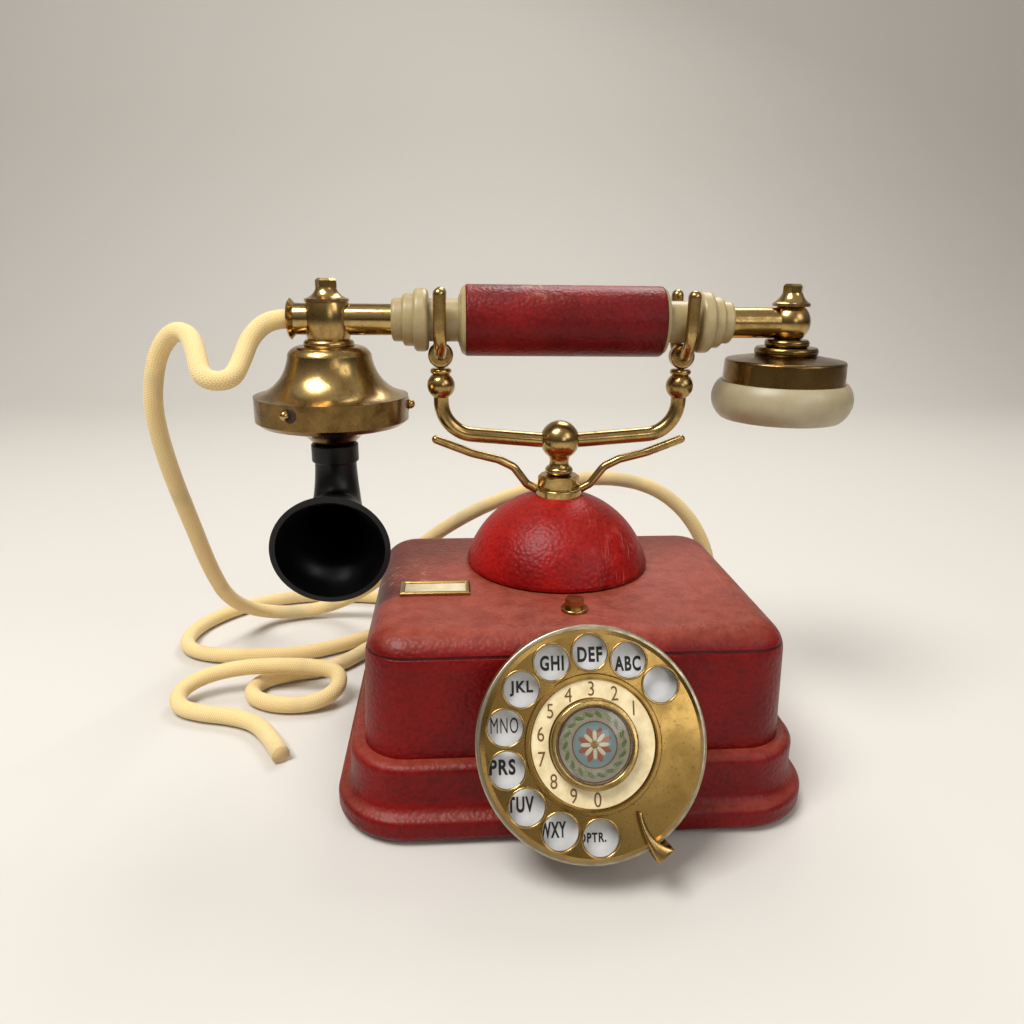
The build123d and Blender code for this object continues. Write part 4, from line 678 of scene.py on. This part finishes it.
@dataclass
class Cords:
    """The handset's cord and the line cord, both cream cotton braid."""

    ferrule_mm: Point = (-116.0, 0.0, HANDSET_Z_MM)
    grommet_end_mm: float = 56.0
    grommet_z_mm: float = 14.0
    lying_mm: float = 4.2
    free_low_mm: float = 105.0
    free_high_mm: float = 187.0

    def handset_route(self) -> list[Point]:
        """Route from the ferrule, round the left and behind the box, to the back grommet."""
        low = self.lying_mm
        outlet, high = self.grommet_end_mm, self.grommet_z_mm
        return [
            self.ferrule_mm,
            (-123.7, 0.0, HANDSET_Z_MM),
            (-131.5, -4.0, 182.0), (-134.0, -11.0, 173.0), (-136.5, -20.0, 165.5),
            (-147.5, -21.5, 166.0), (-151.5, -12.0, 175.0), (-156.0, -3.0, 182.5), (-164.0, 1.0, 184.0),
            (-172.0, 3.0, 175.0), (-176.5, 4.0, 160.0), (-178.0, 6.0, 145.0), (-177.0, 14.0, 120.0),
            (-175.0, 27.0, 92.0), (-175.0, 48.0, 58.0), (-176.0, 76.0, 29.0), (-166.0, 101.0, 10.0),
            (-144.0, 112.0, low), (-121.0, 113.0, 9.0), (-100.0, 104.0, 24.0), (-80.0, 93.0, 44.0),
            (-56.0, 84.0, 67.0), (-26.0, 80.0, 85.0), (6.0, 80.0, 95.0), (36.0, 80.0, 99.0),
            (62.0, 80.0, 94.5), (82.0, 80.0, 82.0), (97.0, 80.0, 62.0), (105.0, 82.0, 38.0),
            (106.0, 90.0, 16.0), (97.0, 104.0, 5.0), (76.0, 114.0, low), (48.0, 116.0, low),
            (16.0, 114.0, low), (-18.0, 116.0, low), (-52.0, 122.0, low), (-86.0, 131.0, low),
            (-120.0, 138.0, low), (-150.0, 138.0, low), (-176.0, 127.0, low), (-195.0, 107.0, low),
            (-203.0, 86.0, low), (-200.0, 67.0, low), (-184.0, 57.0, low), (-160.0, 55.0, low),
            (-134.0, 56.0, low), (-112.0, 66.0, low), (-94.0, 80.0, low), (-70.0, 91.0, low),
            (-46.0, 91.0, low), (-28.0, 82.0, 7.0), (-21.0, 73.0, 12.0),
            (-20.0, outlet + 7.0, high), (-20.0, outlet, high),
        ]

    def line_route(self) -> list[Point]:
        """Route of the line cord, folded in a loose bundle at the left."""
        low = self.lying_mm
        outlet, high = self.grommet_end_mm, self.grommet_z_mm
        return [
            (-60.0, outlet, high), (-60.0, outlet + 6.0, high),
            (-63.0, 68.5, 11.0), (-70.0, 73.0, 6.5), (-83.0, 72.0, low), (-96.0, 63.0, low),
            (-105.0, 49.0, low), (-117.0, 38.0, low), (-135.0, 34.0, low), (-150.0, 26.0, low),
            (-151.0, 12.0, low), (-138.0, 3.0, low), (-120.0, 2.0, low), (-107.0, 7.0, 8.0),
            (-106.0, 17.0, 13.0), (-118.0, 22.0, 14.4), (-138.0, 24.0, 14.6), (-158.0, 24.0, 14.0),
            (-176.0, 21.0, 11.0), (-186.0, 13.0, 7.0), (-183.0, 3.0, low), (-170.0, -3.0, low),
            (-156.0, -6.0, low), (-143.0, -12.0, low), (-133.0, -24.0, low), (-125.0, -39.0, low),
        ]

    def build(self) -> None:
        """Build both cords; the line cord rides on the base."""
        braid = BraidedCotton().build()
        cord = Cord("handset_cord_braid", "handset_cord", self.handset_route(), CordEnd.OBJECT)
        handset = cord.build(braid)
        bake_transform(handset)
        line = Cord("line_cord_braid", "line_cord", self.line_route(), CordEnd.BARE).build(braid)
        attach(line, "base")
        LOG.info("cords: handset cord and line cord")


# Dial

@dataclass(frozen=True)
class DialFrame:
    """The dial's own axes: u to the right, v up the face, w out of it."""

    centre_mm: Point = (0.0, -108.0, 51.8)
    tilt: float = 26.0
    holes: int = 10
    hole_circle_mm: float = 31.4
    first_hole: float = 38.5
    hole_step: float = 26.0

    def matrix(self) -> Matrix:
        """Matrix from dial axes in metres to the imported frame."""
        tilt = math.radians(self.tilt)
        right = Vector((1, 0, 0))
        up = Vector((0, math.sin(tilt), math.cos(tilt)))
        out = Vector((0, -math.cos(tilt), math.sin(tilt)))
        turn = Matrix((right, up, out)).transposed().to_4x4()
        return Matrix.Translation(Vector(self.centre_mm) * MM) @ turn

    def on_circle(self, index: int, radius_mm: float, turn: float = 0.0) -> tuple[float, float]:
        """Place u, v in millimetres at a finger hole's angle.

        Args:
            index: Finger hole, 0 for the first.
            radius_mm: Radius from the dial's centre.
            turn: Extra angle in degrees.

        Returns:
            The u and v of the place.
        """
        angle = math.radians(self.first_hole + self.hole_step * index + turn)
        return radius_mm * math.cos(angle), radius_mm * math.sin(angle)


@dataclass
class Lettering:
    """A set of words or digits, printed as a thin film on a flat face of the dial."""

    film_mm: float = 0.08
    weight: float = 0.0
    spacing: float = 1.0
    narrowing: float = 0.8
    outline_steps: int = 4
    weld: float = 1e-7

    def word(self, text: str, height_mm: float, width_mm: Optional[float]) -> bpy.types.Mesh:
        """Make one word as a closed mesh, centred at the origin.

        Args:
            text: The letters.
            height_mm: Height of the capitals.
            width_mm: Width of the word, or nothing for the narrowed typeface's own.

        Returns:
            The word's mesh in metres, standing on z = 0.
        """
        curve = bpy.data.curves.new("word", "FONT")
        curve.body = text
        # One unit thick in all, so that the film's thickness is the scale below
        curve.extrude = 0.5
        curve.offset = self.weight
        curve.space_character = self.spacing
        curve.resolution_u = self.outline_steps
        mesh = plain_mesh(linked("word", curve))
        low, high = corners(mesh)
        tall = height_mm * MM / (high.y - low.y)
        wide = width_mm * MM / (high.x - low.x) if width_mm else tall * self.narrowing
        centre = (low + high) / 2
        middle = Matrix.Translation((-centre.x, -centre.y, -low.z))
        mesh.transform(Matrix.Diagonal((wide, tall, self.film_mm * MM, 1.0)) @ middle)
        return mesh

    def sheet(self, name: str, words: Sequence[tuple[bpy.types.Mesh, Point]], place: Matrix,
              material: bpy.types.Material) -> bpy.types.Object:
        """Join words into one piece.

        Args:
            name: Object name.
            words: Each word's mesh with its u, v and w in millimetres.
            place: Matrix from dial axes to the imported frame.
            material: Ink.

        Returns:
            The joined piece.
        """
        joined = bmesh.new()
        for mesh, offset in words:
            mesh.transform(Matrix.Translation(Vector(offset) * MM))
            joined.from_mesh(mesh)
            bpy.data.meshes.remove(mesh)
        bmesh.ops.remove_doubles(joined, verts=joined.verts, dist=self.weld)
        joined.transform(place)
        data = bpy.data.meshes.new(name)
        joined.to_mesh(data)
        joined.free()
        data.materials.append(material)
        return linked(name, data)


@dataclass
class DialFigures:
    """Letters on the fixed plate under the finger holes, and digits on the ring that turns."""

    dial: DialFrame
    plate_w_mm: float = -4.4
    ring_w_mm: float = 0.4
    digit_circle_mm: float = 18.8
    digit_height_mm: float = 5.0
    words_mm: Sequence[tuple[str, float]] = (
        ("ABC", 9.6), ("DEF", 9.0), ("GHI", 8.6), ("JKL", 8.4), ("MNO", 9.8), ("PRS", 9.2), ("TUV", 9.4),
        ("WXY", 9.4), ("OPTR.", 9.8))
    letter_height_mm: float = 5.4
    long_word: int = 4
    long_word_height_mm: float = 3.3
    letter_weight: float = 0.034
    letter_spacing: float = 1.16
    letter_shift_mm: float = -0.2
    low_letter_shift_mm: float = -1.0
    first_low_hole: int = 6
    letter_turn: float = -2.0
    letter_drop_mm: float = 0.9
    ink: str = "#15161a"
    gilt: str = "#6a4a1f"

    def letters(self) -> None:
        """Print the letters under holes 2 to 0; the M stays thin, as it fills up when it is thickened."""
        bold_set = Lettering(weight=self.letter_weight, spacing=self.letter_spacing)
        thin_set = Lettering(spacing=self.letter_spacing)
        words = []
        for index, (text, width) in enumerate(self.words_mm, start=1):
            u, v = self.dial.on_circle(index, self.dial.hole_circle_mm, self.letter_turn)
            height = self.long_word_height_mm if len(text) >= self.long_word else self.letter_height_mm
            shift = self.low_letter_shift_mm if index >= self.first_low_hole else self.letter_shift_mm
            print_set = thin_set if "M" in text else bold_set
            place = (u + shift, v - self.letter_drop_mm, self.plate_w_mm)
            words.append((print_set.word(text, height, width), place))
        ink = PrintedInk("black stove ink", self.ink).build()
        keep(bold_set.sheet("dial_letters", words, self.dial.matrix(), ink), "base")

    def digits(self) -> None:
        """Print the digits 1 to 0 on the ring."""
        print_set = Lettering()
        words = []
        for index in range(self.dial.holes):
            u, v = self.dial.on_circle(index, self.digit_circle_mm)
            digit = print_set.word(str((index + 1) % self.dial.holes), self.digit_height_mm, None)
            words.append((digit, (u, v, self.ring_w_mm)))
        ink = PrintedInk("brown gilt ink", self.gilt).build()
        keep(print_set.sheet("dial_digits", words, self.dial.matrix(), ink), "dial")

    def build(self) -> None:
        """Build both sets."""
        self.letters()
        self.digits()


class RingPart(Enum):
    """What a ring repeats."""

    PETAL = "petal"
    EYELET = "eyelet"


@dataclass
class RingOfParts:
    """Equal parts along a circle, made by a node tree: almond petals, or round lips for the finger holes."""

    part: RingPart
    lip_steps: int = 48
    wire_steps: int = 10
    petal_sides: int = 12
    petal_rings: int = 8
    tree: bpy.types.NodeTree = field(init=False)

    def __post_init__(self) -> None:
        """Build the tree: points on a circle and one part on each, turned with the circle."""
        tree = bpy.data.node_groups.new(self.part.value + " ring", "GeometryNodeTree")
        for name, kind in (("Count", "Int"), ("Radius", "Float"), ("Length", "Float"), ("Width", "Float"),
                           ("Height", "Float"), ("Lean", "Float"), ("Start", "Float"), ("Step", "Float"),
                           ("Material", "Material")):
            tree.interface.new_socket(name=name, in_out="INPUT", socket_type="NodeSocket" + kind)
        tree.interface.new_socket(name="Geometry", in_out="OUTPUT", socket_type="NodeSocketGeometry")
        size = add(tree, "NodeGroupInput").node.outputs
        angle = add(tree, MATH, {0: add(tree, "GeometryNodeInputIndex"), 1: size["Step"], 2: size["Start"]},
                    operation="MULTIPLY_ADD")
        sides = {}
        for axis, share in (("X", "COSINE"), ("Y", "SINE")):
            unit = add(tree, MATH, {0: angle}, operation=share)
            sides[axis] = add(tree, MATH, {0: unit, 1: size["Radius"]}, operation="MULTIPLY")
        place = add(tree, "ShaderNodeCombineXYZ", sides)
        points = add(tree, "GeometryNodePoints", {"Count": size["Count"], "Position": place})
        leant = add(tree, MATH, {0: angle, 1: size["Lean"]}, operation="ADD")
        turn = add(tree, "ShaderNodeCombineXYZ", {"Z": leant})
        shape = self.shape(tree, size)
        ring = add(tree, "GeometryNodeInstanceOnPoints", {"Points": points, "Instance": shape,
                                                          "Rotation": turn})
        ring = add(tree, "GeometryNodeRealizeInstances", {"Geometry": ring})
        ring = add(tree, "GeometryNodeSetShadeSmooth", {"Geometry": ring})
        ring = add(tree, "GeometryNodeSetMaterial", {"Geometry": ring, "Material": size["Material"]})
        add(tree, "NodeGroupOutput", {0: ring})
        self.tree = tree

    def shape(self, tree: bpy.types.NodeTree, size: Any) -> bpy.types.NodeSocket:
        """Add the part that is repeated.

        Args:
            tree: The ring's node tree.
            size: The tree's input sockets by name.

        Returns:
            The part's geometry socket.
        """
        if self.part is RingPart.EYELET:
            circle = "GeometryNodeCurvePrimitiveCircle"
            path = add(tree, circle, {"Resolution": self.lip_steps, "Radius": size["Length"]})
            wire = add(tree, circle, {"Resolution": self.wire_steps, "Radius": size["Width"]})
            return add(tree, "GeometryNodeCurveToMesh", {"Curve": path, "Profile Curve": wire})
        ball = add(tree, "GeometryNodeMeshUVSphere", {"Segments": self.petal_sides,
                                                      "Rings": self.petal_rings, "Radius": 0.5})
        scale = add(tree, "ShaderNodeCombineXYZ", {"X": size["Length"], "Y": size["Width"],
                                                   "Z": size["Height"]})
        return add(tree, "GeometryNodeTransform", {"Geometry": ball, "Scale": scale})

    def build(self, name: str, place: Matrix, material: bpy.types.Material,
              **sizes: float) -> bpy.types.Object:
        """Make one ring as a plain mesh piece.

        Args:
            name: Object name.
            place: Matrix from the ring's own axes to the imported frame.
            material: Finish of the parts.
            **sizes: Values of the tree's inputs.

        Returns:
            The ring's object.
        """
        holder = linked(name + "_nodes", bpy.data.meshes.new(name + "_nodes"))
        modifier = holder.modifiers.new("ring", "NODES")
        modifier.node_group = self.tree
        values = {**sizes, "Material": material}
        for item in self.tree.interface.items_tree:
            if item.in_out == "INPUT":
                modifier[item.identifier] = values[item.name]
        mesh = plain_mesh(holder)
        mesh.transform(place)
        mesh.name = name
        return linked(name, mesh)


def flat_ring(name: str, inner_mm: float, outer_mm: float, low_mm: float, high_mm: float, place: Matrix,
              material: bpy.types.Material, sides: int = 96) -> bpy.types.Object:
    """Make a thin closed ring about the w axis.

    Args:
        name: Object name.
        inner_mm: Inner radius.
        outer_mm: Outer radius.
        low_mm: Lower w.
        high_mm: Upper w.
        place: Matrix from the ring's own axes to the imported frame.
        material: Finish.
        sides: Steps round the ring.

    Returns:
        The ring's object.
    """
    section = [(inner_mm, low_mm), (outer_mm, low_mm), (outer_mm, high_mm), (inner_mm, high_mm)]
    points = []
    faces = []
    for side in range(sides):
        angle = 2 * math.pi * side / sides
        for radius, height in section:
            spot = Vector((radius * math.cos(angle), radius * math.sin(angle), height))
            points.append(place @ (spot * MM))
        here, ahead = 4 * side, 4 * ((side + 1) % sides)
        for corner in range(4):
            after = (corner + 1) % 4
            faces.append((here + corner, ahead + corner, ahead + after, here + after))
    piece = mesh_object(name, points, faces, material)
    piece.data.shade_flat()
    return piece


@dataclass(frozen=True)
class PaintedRing:
    """A flat painted band of the picture, in millimetres from its centre."""

    name: str
    ink: PrintedInk
    inner_mm: float
    outer_mm: float
    thick_mm: float


@dataclass(frozen=True)
class PetalRing:
    """A ring of painted petals or leaves; lean and start are in degrees."""

    name: str
    ink: PrintedInk
    count: int
    radius_mm: float
    length_mm: float
    width_mm: float
    height_mm: float
    lean: float = 0.0
    start: float = 0.0


@dataclass
class Medallion:
    """Generic picture under the centre glass: a leaf wreath round a rosette on a painted field."""

    dial: DialFrame
    face_w_mm: float = 2.2
    # The picture's inks are print, painted lighter than the print to make up for the shade the glass casts on
    # them
    bands: Sequence[PaintedRing] = (
        PaintedRing("medallion_field", PrintedInk("slate blue print", "#8fabab"), 0.05, 7.4, 0.06),
        PaintedRing("medallion_line", PrintedInk("brown print", "#8a6038"), 7.4, 7.9, 0.1),
        PaintedRing("medallion_edge", PrintedInk("brown print", "#8a6038"), 12.3, 12.8, 0.1),
    )
    petals: Sequence[PetalRing] = (
        PetalRing("medallion_leaves", PrintedInk("olive print", "#76874a"), 18, 10.1, 3.5, 1.4, 0.35,
                  lean=60.0),
        PetalRing("medallion_buds", PrintedInk("sage print", "#aab583"), 18, 10.2, 2.4, 0.9, 0.45,
                  lean=-40.0, start=10.0),
        PetalRing("medallion_petals_under", PrintedInk("brick print", "#b5694d"), 8, 3.9, 4.6, 2.1, 0.4,
                  start=22.5),
        PetalRing("medallion_petals", PrintedInk("cream print", "#f6ecca"), 8, 3.0, 3.8, 1.7, 0.6),
        PetalRing("medallion_boss", PrintedInk("ochre print", "#b88a3c"), 6, 0.7, 1.6, 1.2, 0.9),
    )

    def inks(self) -> dict[PrintedInk, bpy.types.Material]:
        """Build each ink of the picture once."""
        wanted = dict.fromkeys(ring.ink for ring in (*self.bands, *self.petals))
        return {ink: ink.build() for ink in wanted}

    def build(self) -> None:
        """Build the painted field, wreath and rosette."""
        inks = self.inks()
        place = self.dial.matrix()
        low = self.face_w_mm
        for band in self.bands:
            high = low + band.thick_mm
            piece = flat_ring(band.name, band.inner_mm, band.outer_mm, low, high, place, inks[band.ink])
            keep(piece, "dial")
        raised = place @ Matrix.Translation((0, 0, low * MM))
        ring = RingOfParts(RingPart.PETAL)
        for petal in self.petals:
            piece = ring.build(petal.name, raised, inks[petal.ink], Count=petal.count,
                               Radius=petal.radius_mm * MM, Length=petal.length_mm * MM,
                               Width=petal.width_mm * MM, Height=petal.height_mm * MM,
                               Lean=math.radians(petal.lean), Start=math.radians(petal.start),
                               Step=2 * math.pi / petal.count)
            keep(piece, "dial")


@dataclass
class FingerHoleLips:
    """Rolled lips of the finger wheel's ten holes."""

    dial: DialFrame
    wheel_top_w_mm: float = 1.0
    lip_circle_mm: float = 6.55
    lip_wire_mm: float = 0.42

    def build(self, brass: bpy.types.Material) -> None:
        """Build the lips as one piece on the wheel."""
        place = self.dial.matrix() @ Matrix.Translation((0, 0, self.wheel_top_w_mm * MM))
        piece = RingOfParts(RingPart.EYELET).build(
            "finger_hole_lips", place, brass, Count=self.dial.holes, Radius=self.dial.hole_circle_mm * MM,
            Length=self.lip_circle_mm * MM, Width=self.lip_wire_mm * MM, Height=0.0, Lean=0.0,
            Start=math.radians(self.dial.first_hole), Step=math.radians(self.dial.hole_step))
        keep(piece, "dial")


@dataclass
class FingerStop:
    """Pressed brass finger stop: a curved blade over the wheel whose outer end folds down to the rim."""

    dial: DialFrame
    left_mm: Sequence[tuple[float, float]] = ((14.2, -22.8), (14.6, -28.0), (17.0, -34.0), (20.2, -39.8))
    right_mm: Sequence[tuple[float, float]] = ((15.8, -23.0), (16.6, -28.5), (19.5, -33.4), (26.2, -35.6))
    inner_w_mm: float = 3.0
    crown_mm: float = 0.9
    crest_share: float = 0.35
    inner_crown_share: float = 0.4
    droop_from: float = 0.85
    droop_mm: float = 1.2
    fold_share: float = 0.3
    fold_mm: float = 0.8
    foot_w_mm: float = -4.6
    foot_radius_mm: float = 42.0
    thick_mm: float = 1.0
    edge_mm: float = 0.25
    blade_rows: int = 18
    leg_rows: int = 8
    across: int = 9

    def rows(self) -> list[list[Vector]]:
        """Places of the sheet's top, row by row in dial axes and millimetres."""
        edges = [interpolate_bezier(*(Vector((*p, 0.0)) for p in side), self.blade_rows)
                 for side in (self.left_mm, self.right_mm)]
        grid = []
        for index, (left, right) in enumerate(zip(*edges)):
            along = index / (self.blade_rows - 1)
            row = []
            for step in range(self.across):
                share = step / (self.across - 1)
                place = left.lerp(right, share)
                off_crest = (share - self.crest_share) / (1 - self.crest_share)
                crown = self.crown_mm * (1 - off_crest**2) * min(1.0, self.inner_crown_share + along)
                place.z = self.inner_w_mm + crown - self.droop_mm * max(0.0, along - self.droop_from)
                row.append(place)
            grid.append(row)
        last = grid[-1]
        for index in range(1, self.leg_rows + 1):
            down = index / self.leg_rows
            row = []
            for place in last:
                flat = Vector((place.x, place.y, 0.0))
                folded = min(down, self.fold_share) / self.fold_share
                radius = flat.length + math.sin(math.pi / 2 * folded) * self.fold_mm
                radius += (self.foot_radius_mm - radius) * down
                foot = flat.normalized() * radius
                foot.z = place.z + (self.foot_w_mm - place.z) * down
                row.append(foot)
            grid.append(row)
        return grid

    def build(self, brass: bpy.types.Material) -> None:
        """Build the stop in place of its plain solid."""
        place = self.dial.matrix()
        grid = self.rows()
        points = [place @ (p * MM) for row in grid for p in row]
        faces = []
        for row in range(len(grid) - 1):
            for step in range(self.across - 1):
                here = row * self.across + step
                faces.append((here, here + self.across, here + self.across + 1, here + 1))
        piece = mesh_object("finger_stop_blade", points, faces, brass)
        sheet = piece.modifiers.new("sheet", "SOLIDIFY")
        sheet.thickness = self.thick_mm * MM
        sheet.offset = -1.0
        edge = piece.modifiers.new("edge", "BEVEL")
        edge.width = self.edge_mm * MM
        edge.segments = 2
        edge.limit_method = "ANGLE"
        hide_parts("finger_stop")
        keep(piece, "base")


# Handset trim

@dataclass
class BandScrews:
    """Ball-headed screws on the transmitter's band, each over a dark sheet of painted shade where its round
    recess sits.
    """

    angles: Sequence[float] = (245.0, 0.0)
    heights_mm: Sequence[float] = (153.3, 153.2)
    head_mm: float = 2.1
    stand_out: float = 0.4
    recess_mm: float = 3.1
    recess_shift_mm: float = 1.4
    recess_lift_mm: float = 0.12
    recess_rings: int = 4
    rings: int = 10
    sides: int = 28

    def head(self, name: str, centre: Vector, material: bpy.types.Material) -> bpy.types.Object:
        """Make one ball head.

        Args:
            name: Object name.
            centre: Middle of the ball in metres.
            material: Finish.

        Returns:
            The ball's object.
        """
        ball = bmesh.new()
        bmesh.ops.create_uvsphere(ball, u_segments=self.sides, v_segments=self.rings,
                                  radius=self.head_mm * MM)
        ball.transform(Matrix.Translation(centre))
        mesh = bpy.data.meshes.new(name)
        ball.to_mesh(mesh)
        ball.free()
        mesh.shade_smooth()
        mesh.materials.append(material)
        return linked(name, mesh)

    def recess(self, name: str, axis: Vector, radius: float, angle: float, height: float,
               material: bpy.types.Material) -> bpy.types.Object:
        """Lay a dark sheet on the band's side, the painted shade of a round recess.

        Args:
            name: Object name.
            axis: A place on the band's axis, in metres.
            radius: The band's outer radius.
            angle: Place round the band, in radians.
            height: Height of the screw.
            material: Dark colour of the painted shade.

        Returns:
            The painted shade's object, a thin closed shell bent round the band.
        """
        points = []
        for lift in (-self.recess_lift_mm, self.recess_lift_mm):
            reach = radius + lift * MM
            for ring in range(self.recess_rings + 1):
                spread = self.recess_mm * ring / self.recess_rings
                for side in range(self.sides if ring else 1):
                    turn = 2 * math.pi * side / self.sides
                    bearing = angle + (self.recess_shift_mm + spread * math.cos(turn)) * MM / radius
                    points.append((axis.x + reach * math.cos(bearing), axis.y + reach * math.sin(bearing),
                                   height + spread * math.sin(turn) * MM))
        layer = 1 + self.recess_rings * self.sides
        faces = []
        for start, flip in ((0, True), (layer, False)):
            for side in range(self.sides):
                after = (side + 1) % self.sides
                faces.append((start, start + 1 + side, start + 1 + after)[::-1 if flip else 1])
                for ring in range(self.recess_rings - 1):
                    near = start + 1 + ring * self.sides
                    far = near + self.sides
                    faces.append((near + side, far + side, far + after, near + after)[::-1 if flip else 1])
        rim = layer - self.sides
        for side in range(self.sides):
            after = (side + 1) % self.sides
            faces.append((rim + side, rim + after, layer + rim + after, layer + rim + side))
        return mesh_object(name, points, faces, material)

    def build(self, brass: bpy.types.Material) -> None:
        """Build each screw with the painted shade of its recess."""
        low, high = node_box("transmitter_band")
        axis = (low + high) / 2
        radius = (high.x - low.x) / 2
        # Painted shade: a flat dark ink stands for the shadow inside each screw's recess
        recess_shade_ink = PrintedInk("painted recess shade", "#2b1c0c", 0.6).build()
        for index, (turn, height_mm) in enumerate(zip(self.angles, self.heights_mm), start=1):
            angle = math.radians(turn)
            height = height_mm * MM
            out = Vector((math.cos(angle), math.sin(angle), 0.0))
            centre = Vector((axis.x, axis.y, height)) + out * (radius + self.stand_out * self.head_mm * MM)
            keep(self.recess(f"band_recess_{index}", axis, radius, angle, height, recess_shade_ink), "handset")
            keep(self.head(f"band_screw_{index}", centre, brass), "handset")


# Dressing of the CAD pieces

@dataclass
class Dressing:
    """Finishes for the CAD nodes that keep their own shape."""

    seam_z_mm: float = 72.0
    behind_card_mm: float = 10.0
    dome_inset_mm: float = 12.0
    ridge_shift_mm: float = 8.0

    def leathers(self) -> None:
        """Dress the four leather-covered pieces, each with its own wear."""
        low, high = (corner / MM for corner in node_box("card_frame"))
        behind_card = (low.x, high.y + self.behind_card_mm, low.z)
        low, high = (corner / MM for corner in node_box("bell_dome"))
        dome_side = (high.x - self.dome_inset_mm, low.y + self.dome_inset_mm, (low.z + high.z) / 2)
        low, high = (corner / MM for corner in node_box("grip_sleeve"))
        grip_ridge = ((low.x + high.x) / 2 - self.ridge_shift_mm, 0.0, high.z)
        hides = {
            "casing": PebbledLeather("box leather", dust_and_top_light_share=0.45, rub_share=0.8, worn_at_mm=behind_card,
                                     worn_reach_mm=22.0, seam_z_mm=self.seam_z_mm),
            "plinth": PebbledLeather("plinth leather", dust_and_top_light_share=0.3),
            "bell_dome": PebbledLeather("dome leather", deep="#7d0605", bright="#a5110c", dust_and_top_light_share=0.05,
                                        rub="#c98d78", rub_share=0.12, scratch_share=0.35,
                                        worn_at_mm=dome_side, worn_reach_mm=30.0),
            "grip_sleeve": PebbledLeather("grip leather", deep="#5a0505", bright="#7c0c0a", dust_and_top_light_share=0.08,
                                          rub_share=0.8, scratch_share=0.2, worn_at_mm=grip_ridge,
                                          worn_reach_mm=17.0),
        }
        for node, hide in hides.items():
            dress(node, hide.build())

    def build(self, brass: bpy.types.Material) -> None:
        """Dress every other node."""
        plain_brass = ("guard_arms stem_nut guide_tube card_frame cover_nut dial_cup cradle_stem fork_bar "
                       "fork_eyes prong_left prong_right handset_tube cord_ferrule knuckle_left "
                       "knuckle_right finial_left finial_right transmitter_bell dial_frame dial_shaft "
                       "main_gear governor gongs medallion_bezel")
        for node in plain_brass.split():
            dress(node, brass)
        grooves = GrooveDarkening("#85744b", (0.0, 0.0, HANDSET_Z_MM), (0.0, 1.0, 1.0), deep_mm=6.5, plain_mm=8.2)
        finishes = [
            (AgedBrass("polished dial brass", "#a5854a", "#6f5123", "#453012", patch_mm=22.0, polish=0.2,
                       tarnish_share=0.6), "finger_wheel finger_stop"),
            # Painted shade: the band and the receiver cup take a darker copy of the brass, on top of its
            # tarnish
            (AgedBrass("aged brass with painted shade", "#876c40", "#4f3518"), "transmitter_band receiver_cup"),
            (MouldedPlastic("ivory plastic", "#a8966c", "#857144", gloss=0.28, groove_darkening=grooves),
             "collar_left collar_right"),
            (MouldedPlastic("ivory ear cap", "#a89b7c", "#84764f", gloss=0.3), "receiver_cap"),
            (MouldedPlastic("ivory celluloid", "#eddcb0", "#b89a60", gloss=0.3, cloud_mm=5.0,
                            cloud_share=0.6), "number_ring"),
            (MouldedPlastic("black phenolic", "#040405", "#0c0b0b", gloss=0.3, cloud_mm=9.0, shine=0.3),
             "horn transmitter_capsule receiver_capsule cord_grommets"),
            (MouldedPlastic("white enamel", "#e6e8ea", "#b3b0a8", gloss=0.18, cloud_mm=6.0, cloud_share=0.3),
             "letter_plate"),
            (MouldedPlastic("pale card", "#d6caa8", "#a9976e", gloss=0.7, cloud_mm=5.0), "number_card"),
            # The picture's card, painted lighter to make up for the shade the glass casts on it
            (MouldedPlastic("cream print", "#efe7cd", "#cfc6a2", gloss=0.4, cloud_mm=6.0), "medallion_disc"),
            (PlatedMetal("worn nickel plate", "#b3a88e", rough=0.25, worn="#75603f", rub_mm=5.0), "dial_rim"),
            (PlatedMetal("zinc plated steel", "#9fa1a3", rough=0.35),
             "base_plate base_screws ringer_frame clapper switch_bracket hook_lever network_box"),
            (MouldedPlastic("green felt", "#23301f", "#3a4732", gloss=0.85, cloud_mm=3.0),
             "felt_pad ringer_coils"),
            (MouldedPlastic("brown laminate", "#4a2c16", "#2f1b0d", gloss=0.5, cloud_mm=3.0),
             "contact_springs pulse_contacts terminal_block"),
            (ClearGlass(), "medallion_glass"),
        ]
        for finish, nodes in finishes:
            material = finish.build()
            for node in nodes.split():
                dress(node, material)
        LOG.info("CAD nodes dressed")


def main() -> None:
    """Build the telephone's sub-assemblies in order."""
    logging.basicConfig(level=logging.INFO, format="%(name)s: %(message)s")
    Studio().build()
    Cords().build()
    brass = AgedBrass().build()
    dressing = Dressing()
    dressing.leathers()
    dressing.build(brass)
    dial = DialFrame()
    DialFigures(dial).build()
    Medallion(dial).build()
    FingerHoleLips(dial).build(brass)
    FingerStop(dial).build(brass)
    BandScrews().build(brass)


if __name__ == "__main__":
    main()
